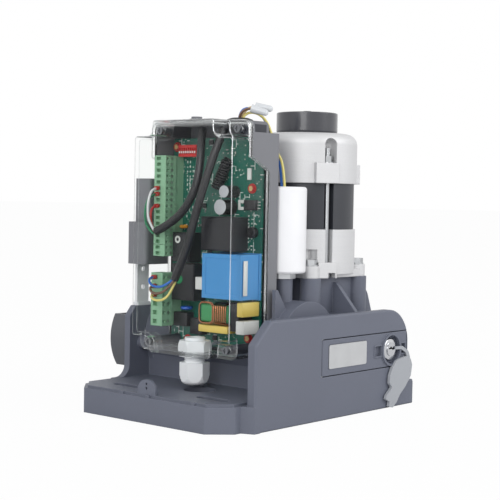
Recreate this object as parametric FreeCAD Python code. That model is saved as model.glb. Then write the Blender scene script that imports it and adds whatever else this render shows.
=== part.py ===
import FreeCAD, Part
import math
import os

# Sliding gate motor. Millimetres, +Z up, origin in the middle of the base face.
# +X runs from the cable ledge to the motor end, +Y points at the gate.

V = FreeCAD.Vector

# Base casting
base_length = 250.0
ledge_front_y = -81.0
gate_face_y = 91.5
panel_face_y = -91.5
panel_thick = 8.0
skirt_top_z = 21.0
plate_top_z = 23.0
plate_thick = 4.0
plate_step = 3.0
wall = 4.0
corner_cut = 17.0
body_end_x = 115.0
deck_top_z = 84.0
panel_top_z = 87.0
panel_near_x = -97.0
gate_wall_near_x = -62.5
gate_wall_top_z = 86.0
gate_wall_thick = 6.5
cross_wall_x = -38.0

# Fixings of the base
front_slot_x = -98.0
slot_y = 48.25
slot_width = 10.0
slot_length = 32.0
rear_hole_x = 104.0
rear_hole_y = 66.0
rear_hole_dia = 9.0
cable_hole_x = -71.0
cable_hole_y = -8.5
cable_hole_dia = 27.0

# Worm drive
gear_module = 2.0
wheel_teeth = 32
worm_pitch_r = 14.5
wheel_face = 24.0
wheel_hub_r = 20.0
centre_distance = gear_module * wheel_teeth / 2 + worm_pitch_r
motor_x = 50.0
motor_y = -21.5
wheel_x = motor_x - centre_distance
wheel_z = 53.0
tooth_backlash = 0.35
worm_length = 46.0
worm_turns = 5

# Output side
shaft_dia = 20.0
bearing_dia = 42.0
bearing_width = 12.0
running_gap = 0.05
seat_gap = 0.05
free_gap = 0.3
pinion_module = 4.0
pinion_teeth = 15
pinion_width = 28.0
pinion_start_y = 94.5
guard_r = 45.0
guard_wall = 2.6
guard_end_y = 132.5
guard_cut_top_z = 74.5
guard_cut_bottom_z = 27.0

# Gear housing on the base
case_wall = 3.0
hump_x = -5.3
hump_z = 60.1
hump_r = 37.4
hump_front_y = -71.5
tower_top_z = 115.5
tower_half = 34.0
column_r = 9.0
rib_thick = 4.0

# Motor
rod_circle_r = 39.0
rod_turn_deg = 246.4
rod_dia = 4.4
shield_r = 44.7
shield_half = 40.0
shield_flange_top_z = 129.0
stator_bottom_z = 157.5
stator_top_z = 197.5
stator_r = 43.0
rotor_r = 24.6
upper_shield_r = 45.2
upper_shield_top_z = 241.5
scoop_r = 5.8
boss_top_z = 215.0
motor_shaft_dia = 15.0
cap_r = 27.3
cap_top_z = 260.0

# Capacitor
capacitor_x = -10.5
capacitor_y = -47.5
capacitor_dia = 36.4
capacitor_z = 121.0
capacitor_height = 72.6
capacitor_post_dia = 15.0

# Control box
box_front_x = -88.0
box_seam_x = -42.0
box_seam_high_x = -64.0
box_back_x = -30.0
box_low_back_x = -38.4
box_half_y = 55.5
box_bottom_z = 52.0
box_top_z = 247.0
box_round = 7.0
box_wall = 2.5
notch_y = 21.0
notch_z = 13.0
notch_depth = 10.0
top_notch_depth = 20.0
step_x = -61.0
step_y = 44.3
step_z = 237.0
seam_low_z = 206.0
seam_high_z = 217.0
gasket_thick = 1.2
cover_screw_y = 44.0
cover_screw_inset_z = 7.5

# Circuit board
board_x = -44.6
board_thick = 1.6
board_half_y = 51.0
board_bottom_z = 56.0
board_top_z = 234.0

# Release door in the front panel
door_thick = 5.0
door_near_x = -12.5
door_far_x = 112.0
door_bottom_z = 37.0
door_top_z = 67.0
door_gap = 0.8
lock_x = 87.5
lock_z = 51.8
lock_rim_r = 14.6
lock_rim_y = panel_face_y - 0.8
lock_pocket_r = lock_rim_r - 1.2
release_travel = 4.0
release_rod_tip_dia = 4.0
release_rod_dia = 8.0

# Values worked out from the driving ones

wheel_tip_r = gear_module * wheel_teeth / 2 + gear_module
wheel_cavity_r = wheel_tip_r + 0.8
wheel_y0 = motor_y - wheel_face / 2
wheel_y1 = motor_y + wheel_face / 2
wheel_room_y = wheel_y0 - 6.5
shaft_start_y = wheel_room_y - bearing_width - 4
shaft_end_y = pinion_start_y + pinion_width + 2
cover_flange_r = 42.0
cover_flange_thick = 5.0
cover_screw_dia = 4.0
cover_screw_r = 38.5
worm_tip_r = worm_pitch_r + gear_module
worm_root_r = worm_pitch_r - 1.2 * gear_module
worm_room_r = worm_tip_r + 1.0
worm_floor_z = 20.0
lower_bearing_width = 9.0
motor_bearing_r = 16.0
door_back_y = panel_face_y + door_thick
hinge_x = door_near_x + door_thick / 2
hinge_y = panel_face_y + door_thick / 2
hinge_pin_r = 1.25
flange_bolt_dia = 6.0
flange_bolt_end_z = 98.0
flange_bolt_at = 33.5
wheel_phase = (worm_turns + 1) % 2 * math.pi / wheel_teeth

# Rear bearing, seal and windings
rear_bearing_y = 66.0
seal_width = 7.0
seal_r = 17.5
winding_slot_r = 2.6

# Gland, bush and screw boss of the control box
gland_x = -68.0
gland_y = 0.5
gland_thread_r = 8.6
grommet_x = -45.0
grommet_y = -25.0
grommet_r = 11.0
top_boss_x = -56.0
top_boss_y = 14.0

# Parts on the board
board_screw_length = 5.0
upper_pitch = 5.08
upper_count = 17
upper_front_x = -68.0
strip_y0 = 38.0
strip_y1 = 51.6
upper_top_z = 218.6
lower_pitch = 7.62
lower_count = 6
lower_front_x = -70.0
lower_top_z = 118.0
dip_y = 27.6

# Wires and the lines they follow, as (x, y, z) places
wire_dia = 2.2
ferrule_dia = 3.8
cable_a = [(-58, 5, 240.8), (-64.5, 0.5, 229), (-69, -3, 210), (-72, -1, 190.5), (-74, 9.5, 172),
           (-75, 26, 160), (-76, 40.6, 153.5)]
cable_b = [(-60, -21.5, 240.8), (-65, -19, 228), (-70, -13.5, 206), (-73, -8, 184.5), (-74.5, -1, 161.5),
           (-75.5, 5.5, 137.5), (-76, 18, 113.5)]
wires_a = {
    "white": [(-76.6, 42.2, 154.4), (-79, 46.4, 161.5), (-80, 47.5, 172), (-79, 47, 182), (-75.5, 46.5, 190),
              (-68.2, 46.5, 190.66)],
    "green": [(-77.2, 42.8, 151.6), (-80, 48.3, 157.5), (-81, 49.6, 167), (-80.3, 49, 177), (-76, 47.1, 185),
              (-68.2, 46.5, 185.58)],
    "red": [(-75.2, 43.4, 153.2), (-76.4, 46.3, 160), (-77.4, 46.6, 168), (-74.5, 46.5, 175.2),
            (-68.2, 46.5, 175.42)],
}
wires_b = {
    "blue": [(-76.4, 19.5, 113.43), (-79, 27.6, 107.2), (-81.5, 36, 106.6), (-81.5, 42.5, 109.7),
             (-77.5, 46.2, 114), (-70.2, 46.5, 114.19)],
    "brown": [(-77.2, 17.44, 112.42), (-79, 25.5, 103.5), (-81.5, 33.5, 100.6), (-81.2, 41, 102.3),
              (-77.2, 46, 106.4), (-70.2, 46.5, 106.57)],
    "yellow": [(-74.8, 17.68, 112.82), (-76.6, 22.6, 100.4), (-79.6, 29.5, 95.2), (-80.5, 38.5, 95.4),
               (-77, 45.4, 98.8), (-70.2, 46.5, 98.95)],
}
top_routes = {
    "blue": [(grommet_x - 1.6, grommet_y, box_top_z - 8), (grommet_x - 1.6, grommet_y, box_top_z + 1),
             (grommet_x - 3, grommet_y - 4, box_top_z + 8), (grommet_x - 2, grommet_y - 12, box_top_z + 11),
             (grommet_x + 1, grommet_y - 18, box_top_z + 9)],
    "tan": [(grommet_x + 1.6, grommet_y, box_top_z - 8), (grommet_x + 1.6, grommet_y, box_top_z + 1),
            (grommet_x + 3, grommet_y - 2, box_top_z + 9), (grommet_x + 7, grommet_y - 8, box_top_z + 13),
            (grommet_x + 11, grommet_y - 14, box_top_z + 12)],
    "yellow": [(grommet_x, grommet_y + 1.8, box_top_z - 8), (grommet_x, grommet_y + 1.8, box_top_z + 2),
               (grommet_x + 4, grommet_y + 1, box_top_z + 11), (grommet_x + 12, grommet_y - 3, box_top_z + 12),
               (grommet_x + 20, grommet_y - 8, box_top_z + 6), (grommet_x + 24, grommet_y - 12, box_top_z - 6),
               (grommet_x + 26, grommet_y - 16, box_top_z - 20),
               (grommet_x + 29, grommet_y - 20.9, box_top_z - 33),
               (grommet_x + 29.5, grommet_y - 22.5, box_top_z - 55.3)],
    "brown": [(grommet_x, grommet_y - 1.8, box_top_z - 8), (grommet_x, grommet_y - 1.8, box_top_z + 2),
              (grommet_x + 6, grommet_y - 3, box_top_z + 8), (grommet_x + 14, grommet_y - 7, box_top_z + 8),
              (grommet_x + 20, grommet_y - 12, box_top_z + 2), (grommet_x + 22.5, grommet_y - 16, box_top_z - 9),
              (grommet_x + 24.5, grommet_y - 19, box_top_z - 23),
              (grommet_x + 29, grommet_y - 24.3, box_top_z - 34),
              (grommet_x + 29.5, grommet_y - 25.5, box_top_z - 55.3)],
}

# Label plate, lock and its cap, outlines as (x, z, corner radius)
plate_x0 = -3.5
plate_x1 = 50.0
plate_z0 = 42.5
plate_z1 = 62.5
lock_barrel_r = 9.0
lock_head_r = 10.6
lock_head_y = panel_face_y - 0.5
lock_floor_y = panel_face_y + 3.5
lock_plug_r = 6.0
collar_r = 12.6
collar_thick = 0.6
collar_lip = 0.5
strap_y = panel_face_y - 2.1
strap_thick = 1.2
lid_thick = 2.6
strap_points = [(91.5, 54.3, 0.5), (102.7, 54.0, 8), (112.5, 49.1, 8), (116.1, 41.6, 1), (111.3, 42.0, 1),
                (108.7, 47.6, 4), (101.2, 51.2, 4), (91.7, 51.6, 0.5)]
lid_points = [(96.8, 43.2, 2), (107.9, 44.6, 5), (114.5, 41.7, 3), (117.1, 36.0, 3), (115.2, 26.2, 5),
              (107.5, 17.9, 4), (98.3, 10.8, 4), (93.8, 5.0, 3), (87.7, 0.3, 2), (81.4, 1.9, 1), (82.7, 6.2, 1),
              (76.4, 9.0, 1), (77.8, 12.1, 1), (83.8, 16.8, 1), (85.9, 18.7, 1), (82.0, 22.3, 1),
              (82.3, 29.3, 3), (86.1, 36.1, 3), (92.1, 41.8, 2)]

# Magnetic limit sensor
sensor_x0 = -67.0
sensor_x1 = -37.0
sensor_y0 = 62.0
sensor_y1 = 86.0
sensor_z0 = 124.0
sensor_z1 = 199.0
sensor_step_z = 161.0
sensor_plate = 3.0


def at_plane(axis, u, v, w):
    """Point with in-plane coordinates u, v and the coordinate w along the axis."""
    if axis == "X":
        return V(w, u, v)
    if axis == "Y":
        return V(u, w, v)
    return V(u, v, w)


def direction(axis):
    return {"X": V(1, 0, 0), "Y": V(0, 1, 0), "Z": V(0, 0, 1)}[axis]


def box(x0, x1, y0, y1, z0, z1):
    return Part.makeBox(x1 - x0, y1 - y0, z1 - z0, V(x0, y0, z0))


def rod(axis, r, centre, start, end):
    """Cylinder along an axis, centre given by the other two coordinates."""
    base = at_plane(axis, centre[0], centre[1], start)
    return Part.makeCylinder(r, end - start, base, direction(axis))


def cone(axis, r0, r1, centre, start, end):
    base = at_plane(axis, centre[0], centre[1], start)
    return Part.makeCone(r0, r1, end - start, base, direction(axis))


def ring(axis, r_out, r_in, centre, start, end):
    return rod(axis, r_out, centre, start, end).cut(rod(axis, r_in, centre, start - 1, end + 1))


def outline(axis, points, w):
    """Closed wire through (u, v, radius) corners, with tangent arcs at the rounded ones."""
    count = len(points)
    marks = []
    for i, (u, v, r) in enumerate(points):
        here = V(u, v, 0)
        back = V(points[i - 1][0], points[i - 1][1], 0) - here
        on = V(points[(i + 1) % count][0], points[(i + 1) % count][1], 0) - here
        if r <= 0:
            marks.append((here, None, here))
            continue
        back.normalize()
        on.normalize()
        half = back.getAngle(on) / 2
        reach = r / math.tan(half)
        middle = back + on
        middle.normalize()
        centre = here + middle * (r / math.sin(half))
        marks.append((here + back * reach, centre - middle * r, here + on * reach))
    edges = []
    for i, (start, bulge, end) in enumerate(marks):
        place = [at_plane(axis, p.x, p.y, w) for p in (start, bulge or start, end)]
        if bulge is not None:
            edges.append(Part.Arc(*place).toShape())
        after = marks[(i + 1) % count][0]
        if end.distanceToPoint(after) > 1e-6:
            edges.append(Part.makeLine(place[2], at_plane(axis, after.x, after.y, w)))
    return Part.Wire(edges)


def prism(axis, points, start, end):
    return Part.Face(outline(axis, points, start)).extrude(direction(axis) * (end - start))


def join(*shapes):
    return shapes[0].multiFuse(list(shapes[1:])).removeSplitter()


def turned(shape, axis, centre, degrees):
    """Copy of the shape turned about an axis through centre (its in-plane coordinates)."""
    copy = shape.copy()
    copy.rotate(at_plane(axis, centre[0], centre[1], 0), direction(axis), degrees)
    return copy


def rectangle(u0, u1, v0, v1, r):
    return [(u0, v0, r), (u1, v0, r), (u1, v1, r), (u0, v1, r)]


def hexagon(axis, flats, centre, start, end, turn=0):
    r = flats / math.sqrt(3)
    points = []
    for i in range(6):
        a = math.radians(60 * i + turn)
        points.append((centre[0] + r * math.cos(a), centre[1] + r * math.sin(a), 0))
    return prism(axis, points, start, end)


def path_wire(points):
    """Straight runs joined by tangent arcs, each as large as its two runs allow."""
    places = [V(*p) for p in points]
    edges = []
    radii = []
    start = places[0]
    for before, here, after in zip(places, places[1:], places[2:]):
        back = before - here
        on = after - here
        short = min(back.Length, on.Length)
        back.normalize()
        on.normalize()
        half = back.getAngle(on) / 2
        reach = 0.45 * short
        r = reach * math.tan(half)
        middle = back + on
        middle.normalize()
        bulge = here + middle * (r / math.sin(half) - r)
        enter = here + back * reach
        leave = here + on * reach
        edges.append(Part.makeLine(start, enter))
        edges.append(Part.Arc(enter, bulge, leave).toShape())
        radii.append(r)
        start = leave
    edges.append(Part.makeLine(start, places[-1]))
    return Part.Wire(edges), radii


def tube_along(points, dia, name):
    wire, radii = path_wire(points)
    heading = V(*points[1]) - V(*points[0])
    circle = Part.Wire([Part.makeCircle(dia / 2, V(*points[0]), heading)])
    solid = wire.makePipeShell([circle], True, False)
    length = sum(edge.Length for edge in wire.Edges)
    print(name, "length %.1f" % length, "volume ratio %.4f" % (
        solid.Volume / (math.pi * dia * dia / 4 * length)),
        "radii", [round(r, 1) for r in radii])
    return solid


# Base casting with its gear housing

def ledge_outline(inset):
    half = base_length / 2 - inset
    front = ledge_front_y + inset
    back = gate_face_y - inset
    cut = corner_cut - inset * (2 - math.sqrt(2))
    end_r = 5.0
    return [(-half, front + cut, 0), (-half + cut, front, 0), (half, front, end_r),
            (half, back, end_r), (-half + cut, back, 0), (-half, back - cut, 0)]


def body_outline(inset, near_x):
    """Side view of the upper body, with its round rear shoulder."""
    shoulder_r = 30.0
    far = body_end_x - inset
    return [(near_x, plate_top_z - 1, 0), (far, plate_top_z - 1, 0),
            (far, deck_top_z - inset, shoulder_r - inset), (near_x, deck_top_z - inset, 0)]


def front_panel():
    half = base_length / 2
    points = [(panel_near_x, 0, 0), (panel_near_x, 69, 3), (-78, panel_top_z, 4),
              (body_end_x, panel_top_z, 30), (body_end_x, plate_top_z - 1, 1.5),
              (half, plate_top_z - 1, 1.5), (half, 0, 0)]
    bevel = 1.2
    inner = prism("Y", points, panel_face_y + bevel, panel_face_y + panel_thick)
    face_points = [(panel_near_x + bevel, bevel, 0), (panel_near_x + bevel, 69 - 0.3, 3),
                   (-78 + 0.6, panel_top_z - bevel, 4), (body_end_x - bevel, panel_top_z - bevel, 30 - bevel),
                   (body_end_x - bevel, plate_top_z - 1 - bevel, 1.5),
                   (half - bevel, plate_top_z - 1 - bevel, 1.5), (half - bevel, bevel, 0)]
    face = outline("Y", face_points, panel_face_y)
    edge = outline("Y", points, panel_face_y + bevel)
    return inner.fuse(Part.makeLoft([face, edge], True, True))


def gate_wall():
    points = [(gate_wall_near_x - 16, plate_top_z - 2, 0), (gate_wall_near_x - 16, plate_top_z, 0),
              (gate_wall_near_x, plate_top_z, 11), (gate_wall_near_x, 77.5, 2),
              (gate_wall_near_x + 7, gate_wall_top_z, 2), (body_end_x, gate_wall_top_z, 30),
              (body_end_x, plate_top_z - 2, 0)]
    return prism("Y", points, gate_face_y - gate_wall_thick, gate_face_y)


def front_lug():
    """Small eye on the ledge's front edge that a cover screws to."""
    eye = prism("X", [(-7, skirt_top_z - 2, 0), (13, skirt_top_z - 2, 0), (13, 35, 9), (-7, 35, 9)],
                -base_length / 2 + plate_step, -base_length / 2 + plate_step + 3)
    gusset = prism("Y", [(-base_length / 2 + plate_step + 2, skirt_top_z, 0), (-110, plate_top_z - 1, 0),
                         (-110, plate_top_z + 0.5, 0), (-base_length / 2 + plate_step + 2, 33, 0)], 1.5, 4.5)
    solid = join(eye, gusset)
    for z in (28.0, 31.5):
        solid = solid.cut(rod("X", 1.1, (3, z), -base_length / 2, -base_length / 2 + 9))
    return solid


def tower():
    """Square tower that carries the motor, with a column at each corner."""
    low = plate_top_z - 14
    x, y = motor_x, motor_y
    column_at = tower_half - 0.5
    parts = [box(x - tower_half, x + tower_half, y - tower_half, y + tower_half, deck_top_z - 6, tower_top_z),
             rod("Z", 30, (x, y), low, tower_top_z)]
    for sx in (-1, 1):
        for sy in (-1, 1):
            parts.append(rod("Z", column_r, (x + sx * column_at, y + sy * column_at),
                             deck_top_z - 6, tower_top_z))
    return join(*parts)


def ribs():
    """Curved webs from the tower down to the panel and the rear shoulder."""
    shapes = []
    y_wall = motor_y - tower_half + 1
    y_panel = panel_face_y + panel_thick - 1
    z_foot = deck_top_z - 2
    curve = [(y_wall, z_foot, 0), (y_wall, 111, 0), (y_wall - 4, 111, 2), (y_wall - 13, 101, 12),
             (y_panel + 4, deck_top_z + 2.5, 2), (y_panel, z_foot, 0)]
    shapes.append(prism("X", curve, motor_x - 2, motor_x - 2 + rib_thick))
    end_x = motor_x + tower_half - 1
    arch = [(end_x, z_foot, 0), (end_x, 112, 0), (end_x + 9, 112, 8), (end_x + 23, 100, 14),
            (end_x + 30, z_foot, 0)]
    for y in (motor_y - tower_half + 4, motor_y + tower_half - 8):
        shapes.append(prism("Y", arch, y, y + rib_thick))
    near = box_back_x + 1.5
    slope = [(near, z_foot, 0), (near, 108, 0), (near + 3, 108, 0), (-12, deck_top_z + 1, 0), (-12, z_foot, 0)]
    shapes.append(prism("Y", slope, 40, 40 + rib_thick))
    beside = [(box_low_back_x, z_foot, 0), (box_low_back_x, 108, 0), (box_low_back_x + 2.5, 108, 1),
              (-20.6, deck_top_z + 1.6, 0), (-20.6, z_foot, 0)]
    shapes.append(prism("Y", beside, -62, -62 + rib_thick))
    return shapes


def underside_bosses():
    """Thick places of the plate round the fixings, and the stiffening webs."""
    shapes = []
    for side in (-1, 1):
        y = side * slot_y
        foot = rectangle(front_slot_x - 9, front_slot_x + 9, y - 20, y + 20, 8)
        shapes.append(prism("Z", foot, 0, plate_top_z))
        shapes.append(rod("Z", 10, (rear_hole_x, side * rear_hole_y), 0, plate_top_z))
    for x in (-76, 84):
        shapes.append(box(x, x + wall, ledge_front_y + 1, gate_face_y - 1, 0, plate_top_z))
    for y in (-52, 28):
        shapes.append(box(-base_length / 2 + 1, base_length / 2 - 1, y, y + wall, 6, plate_top_z))
    shapes.append(box(-base_length / 2 + 1, base_length / 2 - 1, -wall / 2, wall / 2, 0, plate_top_z))
    shapes.append(rod("Z", cable_hole_dia / 2 + wall, (cable_hole_x, cable_hole_y), 0, plate_top_z))
    return shapes


def guard_bosses():
    return [rod("Y", 6, place, gate_face_y - 14, gate_face_y) for place in guard_screw_places()]


def box_brackets():
    """Two feet behind the control box that its back is screwed to."""
    shapes = []
    for y in (-36, 24):
        shapes.append(box(box_back_x, box_back_x + 12, y, y + 12, deck_top_z - 2, 102))
    return shapes


def base_housing():
    skirt = prism("Z", ledge_outline(0), 0, skirt_top_z)
    plate = prism("Z", ledge_outline(plate_step), skirt_top_z - 0.5, plate_top_z)
    hollow = prism("Z", ledge_outline(plate_step + wall), -1, plate_top_z - plate_thick)
    lower = skirt.fuse(plate).cut(hollow)

    inner_y = gate_face_y - 1
    upper = prism("Y", body_outline(0, cross_wall_x), panel_face_y + panel_thick - 1, inner_y)
    room = prism("Y", body_outline(wall, cross_wall_x + wall),
                 panel_face_y + panel_thick, gate_face_y - gate_wall_thick)
    upper = upper.cut(room)

    hump = rod("Y", hump_r, (hump_x, hump_z), hump_front_y, gate_face_y - gate_wall_thick)
    case = rod("Y", wheel_cavity_r + case_wall, (wheel_x, wheel_z), hump_front_y, gate_face_y - 1)
    mouth = rod("Y", cover_flange_r + 2.2, (wheel_x, wheel_z), gate_face_y - 12, gate_face_y)
    lock_block = box(-24, body_end_x - 1, panel_face_y + panel_thick - 1, hump_front_y, 26, 78)
    post = rod("Z", capacitor_post_dia / 2, (capacitor_x, capacitor_y), wheel_z, capacitor_z - 5)
    corner = prism("Z", [(panel_near_x - 4.5, ledge_front_y, 0), (panel_near_x, panel_face_y, 0),
                         (panel_near_x + 7, panel_face_y, 0), (panel_near_x + 7, ledge_front_y + 1, 0)], 0, skirt_top_z)
    solid = join(lower, upper, front_panel(), gate_wall(), front_lug(), hump, case, mouth, lock_block,
                 post, corner, tower(), *ribs(), *underside_bosses(), *box_brackets(), *guard_bosses())

    tip_y = panel_face_y - 1
    side = box_half_y + free_gap
    bottom = box_bottom_z - 0.001
    holes = [
        box(box_front_x, box_low_back_x + 0.001, -side, side, bottom, box_top_z),
        box(box_front_x, box_back_x + 0.001, -side, side, deck_top_z, box_top_z),
        rod("Y", wheel_cavity_r, (wheel_x, wheel_z), wheel_room_y, gate_face_y + 1),
        rod("Y", cover_flange_r + seat_gap, (wheel_x, wheel_z), gate_face_y - cover_flange_thick,
            gate_face_y + 1),
        rod("Y", bearing_dia / 2 + seat_gap, (wheel_x, wheel_z), wheel_room_y - bearing_width,
            wheel_room_y + 1),
        rod("Y", shaft_dia / 2 + 1.5, (wheel_x, wheel_z), shaft_start_y - 2, wheel_room_y),
        rod("Y", release_rod_dia / 2 + free_gap, (wheel_x, wheel_z), -78, wheel_room_y),
        rod("Y", release_rod_tip_dia / 2 + free_gap, (wheel_x, wheel_z), tip_y, -77),
        rod("Z", worm_room_r, (motor_x, motor_y), worm_floor_z, tower_top_z + 1),
        rod("Z", motor_bearing_r + seat_gap, (motor_x, motor_y), worm_floor_z - lower_bearing_width,
            worm_floor_z + 1),
        rod("Z", 3.3, (capacitor_x, capacitor_y), capacitor_z - 20, capacitor_z),
        prism("Y", rectangle(door_near_x - door_gap, door_far_x + door_gap, door_bottom_z - door_gap,
                             door_top_z + door_gap, 0.8), tip_y, door_back_y + door_gap),
        rod("Y", 19, (lock_x, lock_z), tip_y + 2, -74),
        rod("Z", cable_hole_dia / 2, (cable_hole_x, cable_hole_y), -1, plate_top_z + 1),
        rod("Z", hinge_pin_r + seat_gap, (hinge_x, hinge_y), door_bottom_z - 6, door_top_z + 12),
    ]
    for side in (-1, 1):
        holes.append(prism("Z", rectangle(front_slot_x - slot_width / 2, front_slot_x + slot_width / 2,
                                          side * slot_y - slot_length / 2, side * slot_y + slot_length / 2,
                                          slot_width / 2 - 0.01), -1, plate_top_z + 1))
        holes.append(rod("Z", rear_hole_dia / 2, (rear_hole_x, side * rear_hole_y), -1, plate_top_z + 1))
        holes.append(rod("Z", 8, (rear_hole_x, side * rear_hole_y), plate_top_z, deck_top_z + 4))
    for x, y in flange_bolt_places():
        holes.append(rod("Z", flange_bolt_dia / 2, (x, y), flange_bolt_end_z - 1, tower_top_z + 1))
    for x, z in cover_screw_places():
        holes.append(rod("Y", cover_screw_dia / 2, (x, z), gate_face_y - 18, gate_face_y))
    for y, z in bracket_screw_places():
        holes.append(rod("X", 2.0, (y, z), box_back_x - 1, box_back_x + 9))
    for place in guard_screw_places():
        holes.append(rod("Y", 2.0, place, gate_face_y - 13, gate_face_y + 1))
    for hole in holes:
        solid = solid.cut(hole)
    return solid.removeSplitter()


def around(count, r, centre, turn):
    """Places evenly spaced on a circle."""
    places = []
    for i in range(count):
        a = math.radians(turn + 360.0 * i / count)
        places.append((centre[0] + r * math.cos(a), centre[1] + r * math.sin(a)))
    return places


def flange_bolt_places():
    return around(4, flange_bolt_at * math.sqrt(2), (motor_x, motor_y), 45)


def cover_screw_places():
    return around(4, cover_screw_r, (wheel_x, wheel_z), 45)


def tie_rod_places():
    return around(4, rod_circle_r, (motor_x, motor_y), rod_turn_deg)


def bracket_screw_places():
    return [(-30, 96), (30, 96)]


# Drive train

def toothed_profile(teeth, module, tip, root, fraction):
    """Tooth corners of a gear, flanks leaning like a standard tooth."""
    pitch_r = module * teeth / 2
    pitch_angle = 2 * math.pi / teeth
    flank = math.tan(math.radians(20))
    points = []
    for i in range(teeth):
        middle = i * pitch_angle
        for r, side in ((root, -1), (pitch_r, -1), (tip, -1), (tip, 1), (pitch_r, 1), (root, 1)):
            half = math.pi * module * fraction / 2 - (r - pitch_r) * flank
            a = middle + side * half / r
            points.append((r * math.cos(a), r * math.sin(a)))
    return points


def gear_wire(points, centre, y, turn):
    c = math.cos(turn)
    s = math.sin(turn)
    places = [V(centre[0] + u * c - v * s, y, centre[1] + u * s + v * c) for u, v in points]
    return Part.makePolygon(places + places[:1])


def worm_wheel():
    """Helical rim that the worm turns, on a thick hub with lightening holes."""
    lead_angle = math.atan(gear_module / (2 * worm_pitch_r))
    pitch_r = gear_module * wheel_teeth / 2
    twist = wheel_face / 2 * math.tan(lead_angle) / pitch_r
    root = pitch_r - 1.2 * gear_module
    fraction = 0.5 - tooth_backlash / (math.pi * gear_module)
    points = toothed_profile(wheel_teeth, gear_module, wheel_tip_r, root, fraction)
    centre = (wheel_x, wheel_z)
    wires = [gear_wire(points, centre, wheel_y0, wheel_phase + twist),
             gear_wire(points, centre, wheel_y1, wheel_phase - twist)]
    solid = Part.makeLoft(wires, True, True)
    web_r = root - 5
    for y0, y1 in ((wheel_y0 - 1, motor_y - 5), (motor_y + 5, wheel_y1 + 1)):
        solid = solid.cut(ring("Y", web_r, wheel_hub_r, centre, y0, y1))
    for place in around(6, (web_r + wheel_hub_r) / 2, centre, 30):
        solid = solid.cut(rod("Y", 4.2, place, wheel_y0, wheel_y1))
    hub = rod("Y", wheel_hub_r, centre, wheel_y0 - 4, wheel_y1 + 4)
    solid = solid.fuse(hub)
    return solid.cut(rod("Y", shaft_dia / 2, centre, wheel_y0 - 10, wheel_y1 + 10)).removeSplitter()


def throated_wheel():
    """Wheel whose rim is hollowed to follow the worm."""
    throat = rod("Z", worm_root_r + 0.5, (motor_x, motor_y), 0, 110)
    return worm_wheel().cut(throat)


def helical_bar(corners, pitch, turns):
    """Solid swept along a helix: each side of its section is a ruled helical face."""
    height = pitch * turns
    lines = []
    for r, z in corners:
        line = Part.makeHelix(pitch, height, r)
        line.translate(V(0, 0, z))
        lines.append(line.Edges[0])
    faces = []
    for i, line in enumerate(lines):
        faces.append(Part.makeRuledSurface(line, lines[(i + 1) % len(lines)]))
    for lift in (0, height):
        places = [V(r, 0, z + lift) for r, z in corners]
        faces.append(Part.Face(Part.makePolygon(places + places[:1])))
    shell = Part.Shell([face for shape in faces for face in shape.Faces])
    shell.sewShape()
    solid = Part.Solid(shell)
    if solid.Volume < 0:
        solid.reverse()
    return solid


def worm_and_shaft():
    """Motor shaft in one piece with its worm, one thread start."""
    centre = (motor_x, motor_y)
    worm_z0 = wheel_z - worm_length / 2
    worm_z1 = wheel_z + worm_length / 2
    parts = [rod("Z", worm_root_r, centre, worm_z0, worm_z1),
             rod("Z", motor_shaft_dia / 2, centre, worm_floor_z - lower_bearing_width, 240),
             rod("Z", 9.5, centre, worm_z1 - 1, 118)]
    pitch = math.pi * gear_module
    thread_z0 = wheel_z - worm_turns * pitch / 2
    flank = math.tan(math.radians(20))
    half = pitch / 4 - tooth_backlash / 2
    root_half = half + (worm_pitch_r - worm_root_r) * flank
    tip_half = half - (worm_tip_r - worm_pitch_r) * flank
    inner = worm_root_r - 0.6
    corners = [(inner, -root_half), (worm_tip_r, -tip_half), (worm_tip_r, tip_half), (inner, root_half)]
    thread = helical_bar(corners, pitch, worm_turns)
    thread.rotate(V(0, 0, 0), V(0, 0, 1), 180)
    thread.translate(V(motor_x, motor_y, thread_z0))
    return join(*parts).fuse(thread)


def output_shaft():
    centre = (wheel_x, wheel_z)
    body = rod("Y", shaft_dia / 2, centre, shaft_start_y, shaft_end_y)
    collar = rod("Y", shaft_dia / 2 + 3, centre, wheel_y1 + 4, wheel_y1 + 8)
    shoulder = rod("Y", shaft_dia / 2 + 3, centre, gate_face_y + free_gap, pinion_start_y)
    bore = rod("Y", release_rod_dia / 2 + free_gap, centre, shaft_start_y - 1, motor_y + 10)
    thread = rod("Y", 4, centre, shaft_end_y - 20, shaft_end_y + 1)
    return join(body, collar, shoulder).cut(bore).cut(thread)


def bearing(axis, centre, outer, inner, start, end):
    """Sealed ball bearing with the grooves of its two seals."""
    solid = ring(axis, outer, inner, centre, start, end)
    mean = (outer + inner) / 2
    for face in (start, end):
        groove = ring(axis, mean + (outer - inner) * 0.22, mean - (outer - inner) * 0.22, centre,
                      face - 0.6, face + 0.6)
        solid = solid.cut(groove)
    return solid


def output_bearings():
    centre = (wheel_x, wheel_z)
    inner = shaft_dia / 2 + running_gap
    return [bearing("Y", centre, bearing_dia / 2, inner, wheel_room_y - bearing_width, wheel_room_y),
            bearing("Y", centre, bearing_dia / 2, inner, rear_bearing_y, rear_bearing_y + bearing_width)]


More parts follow.
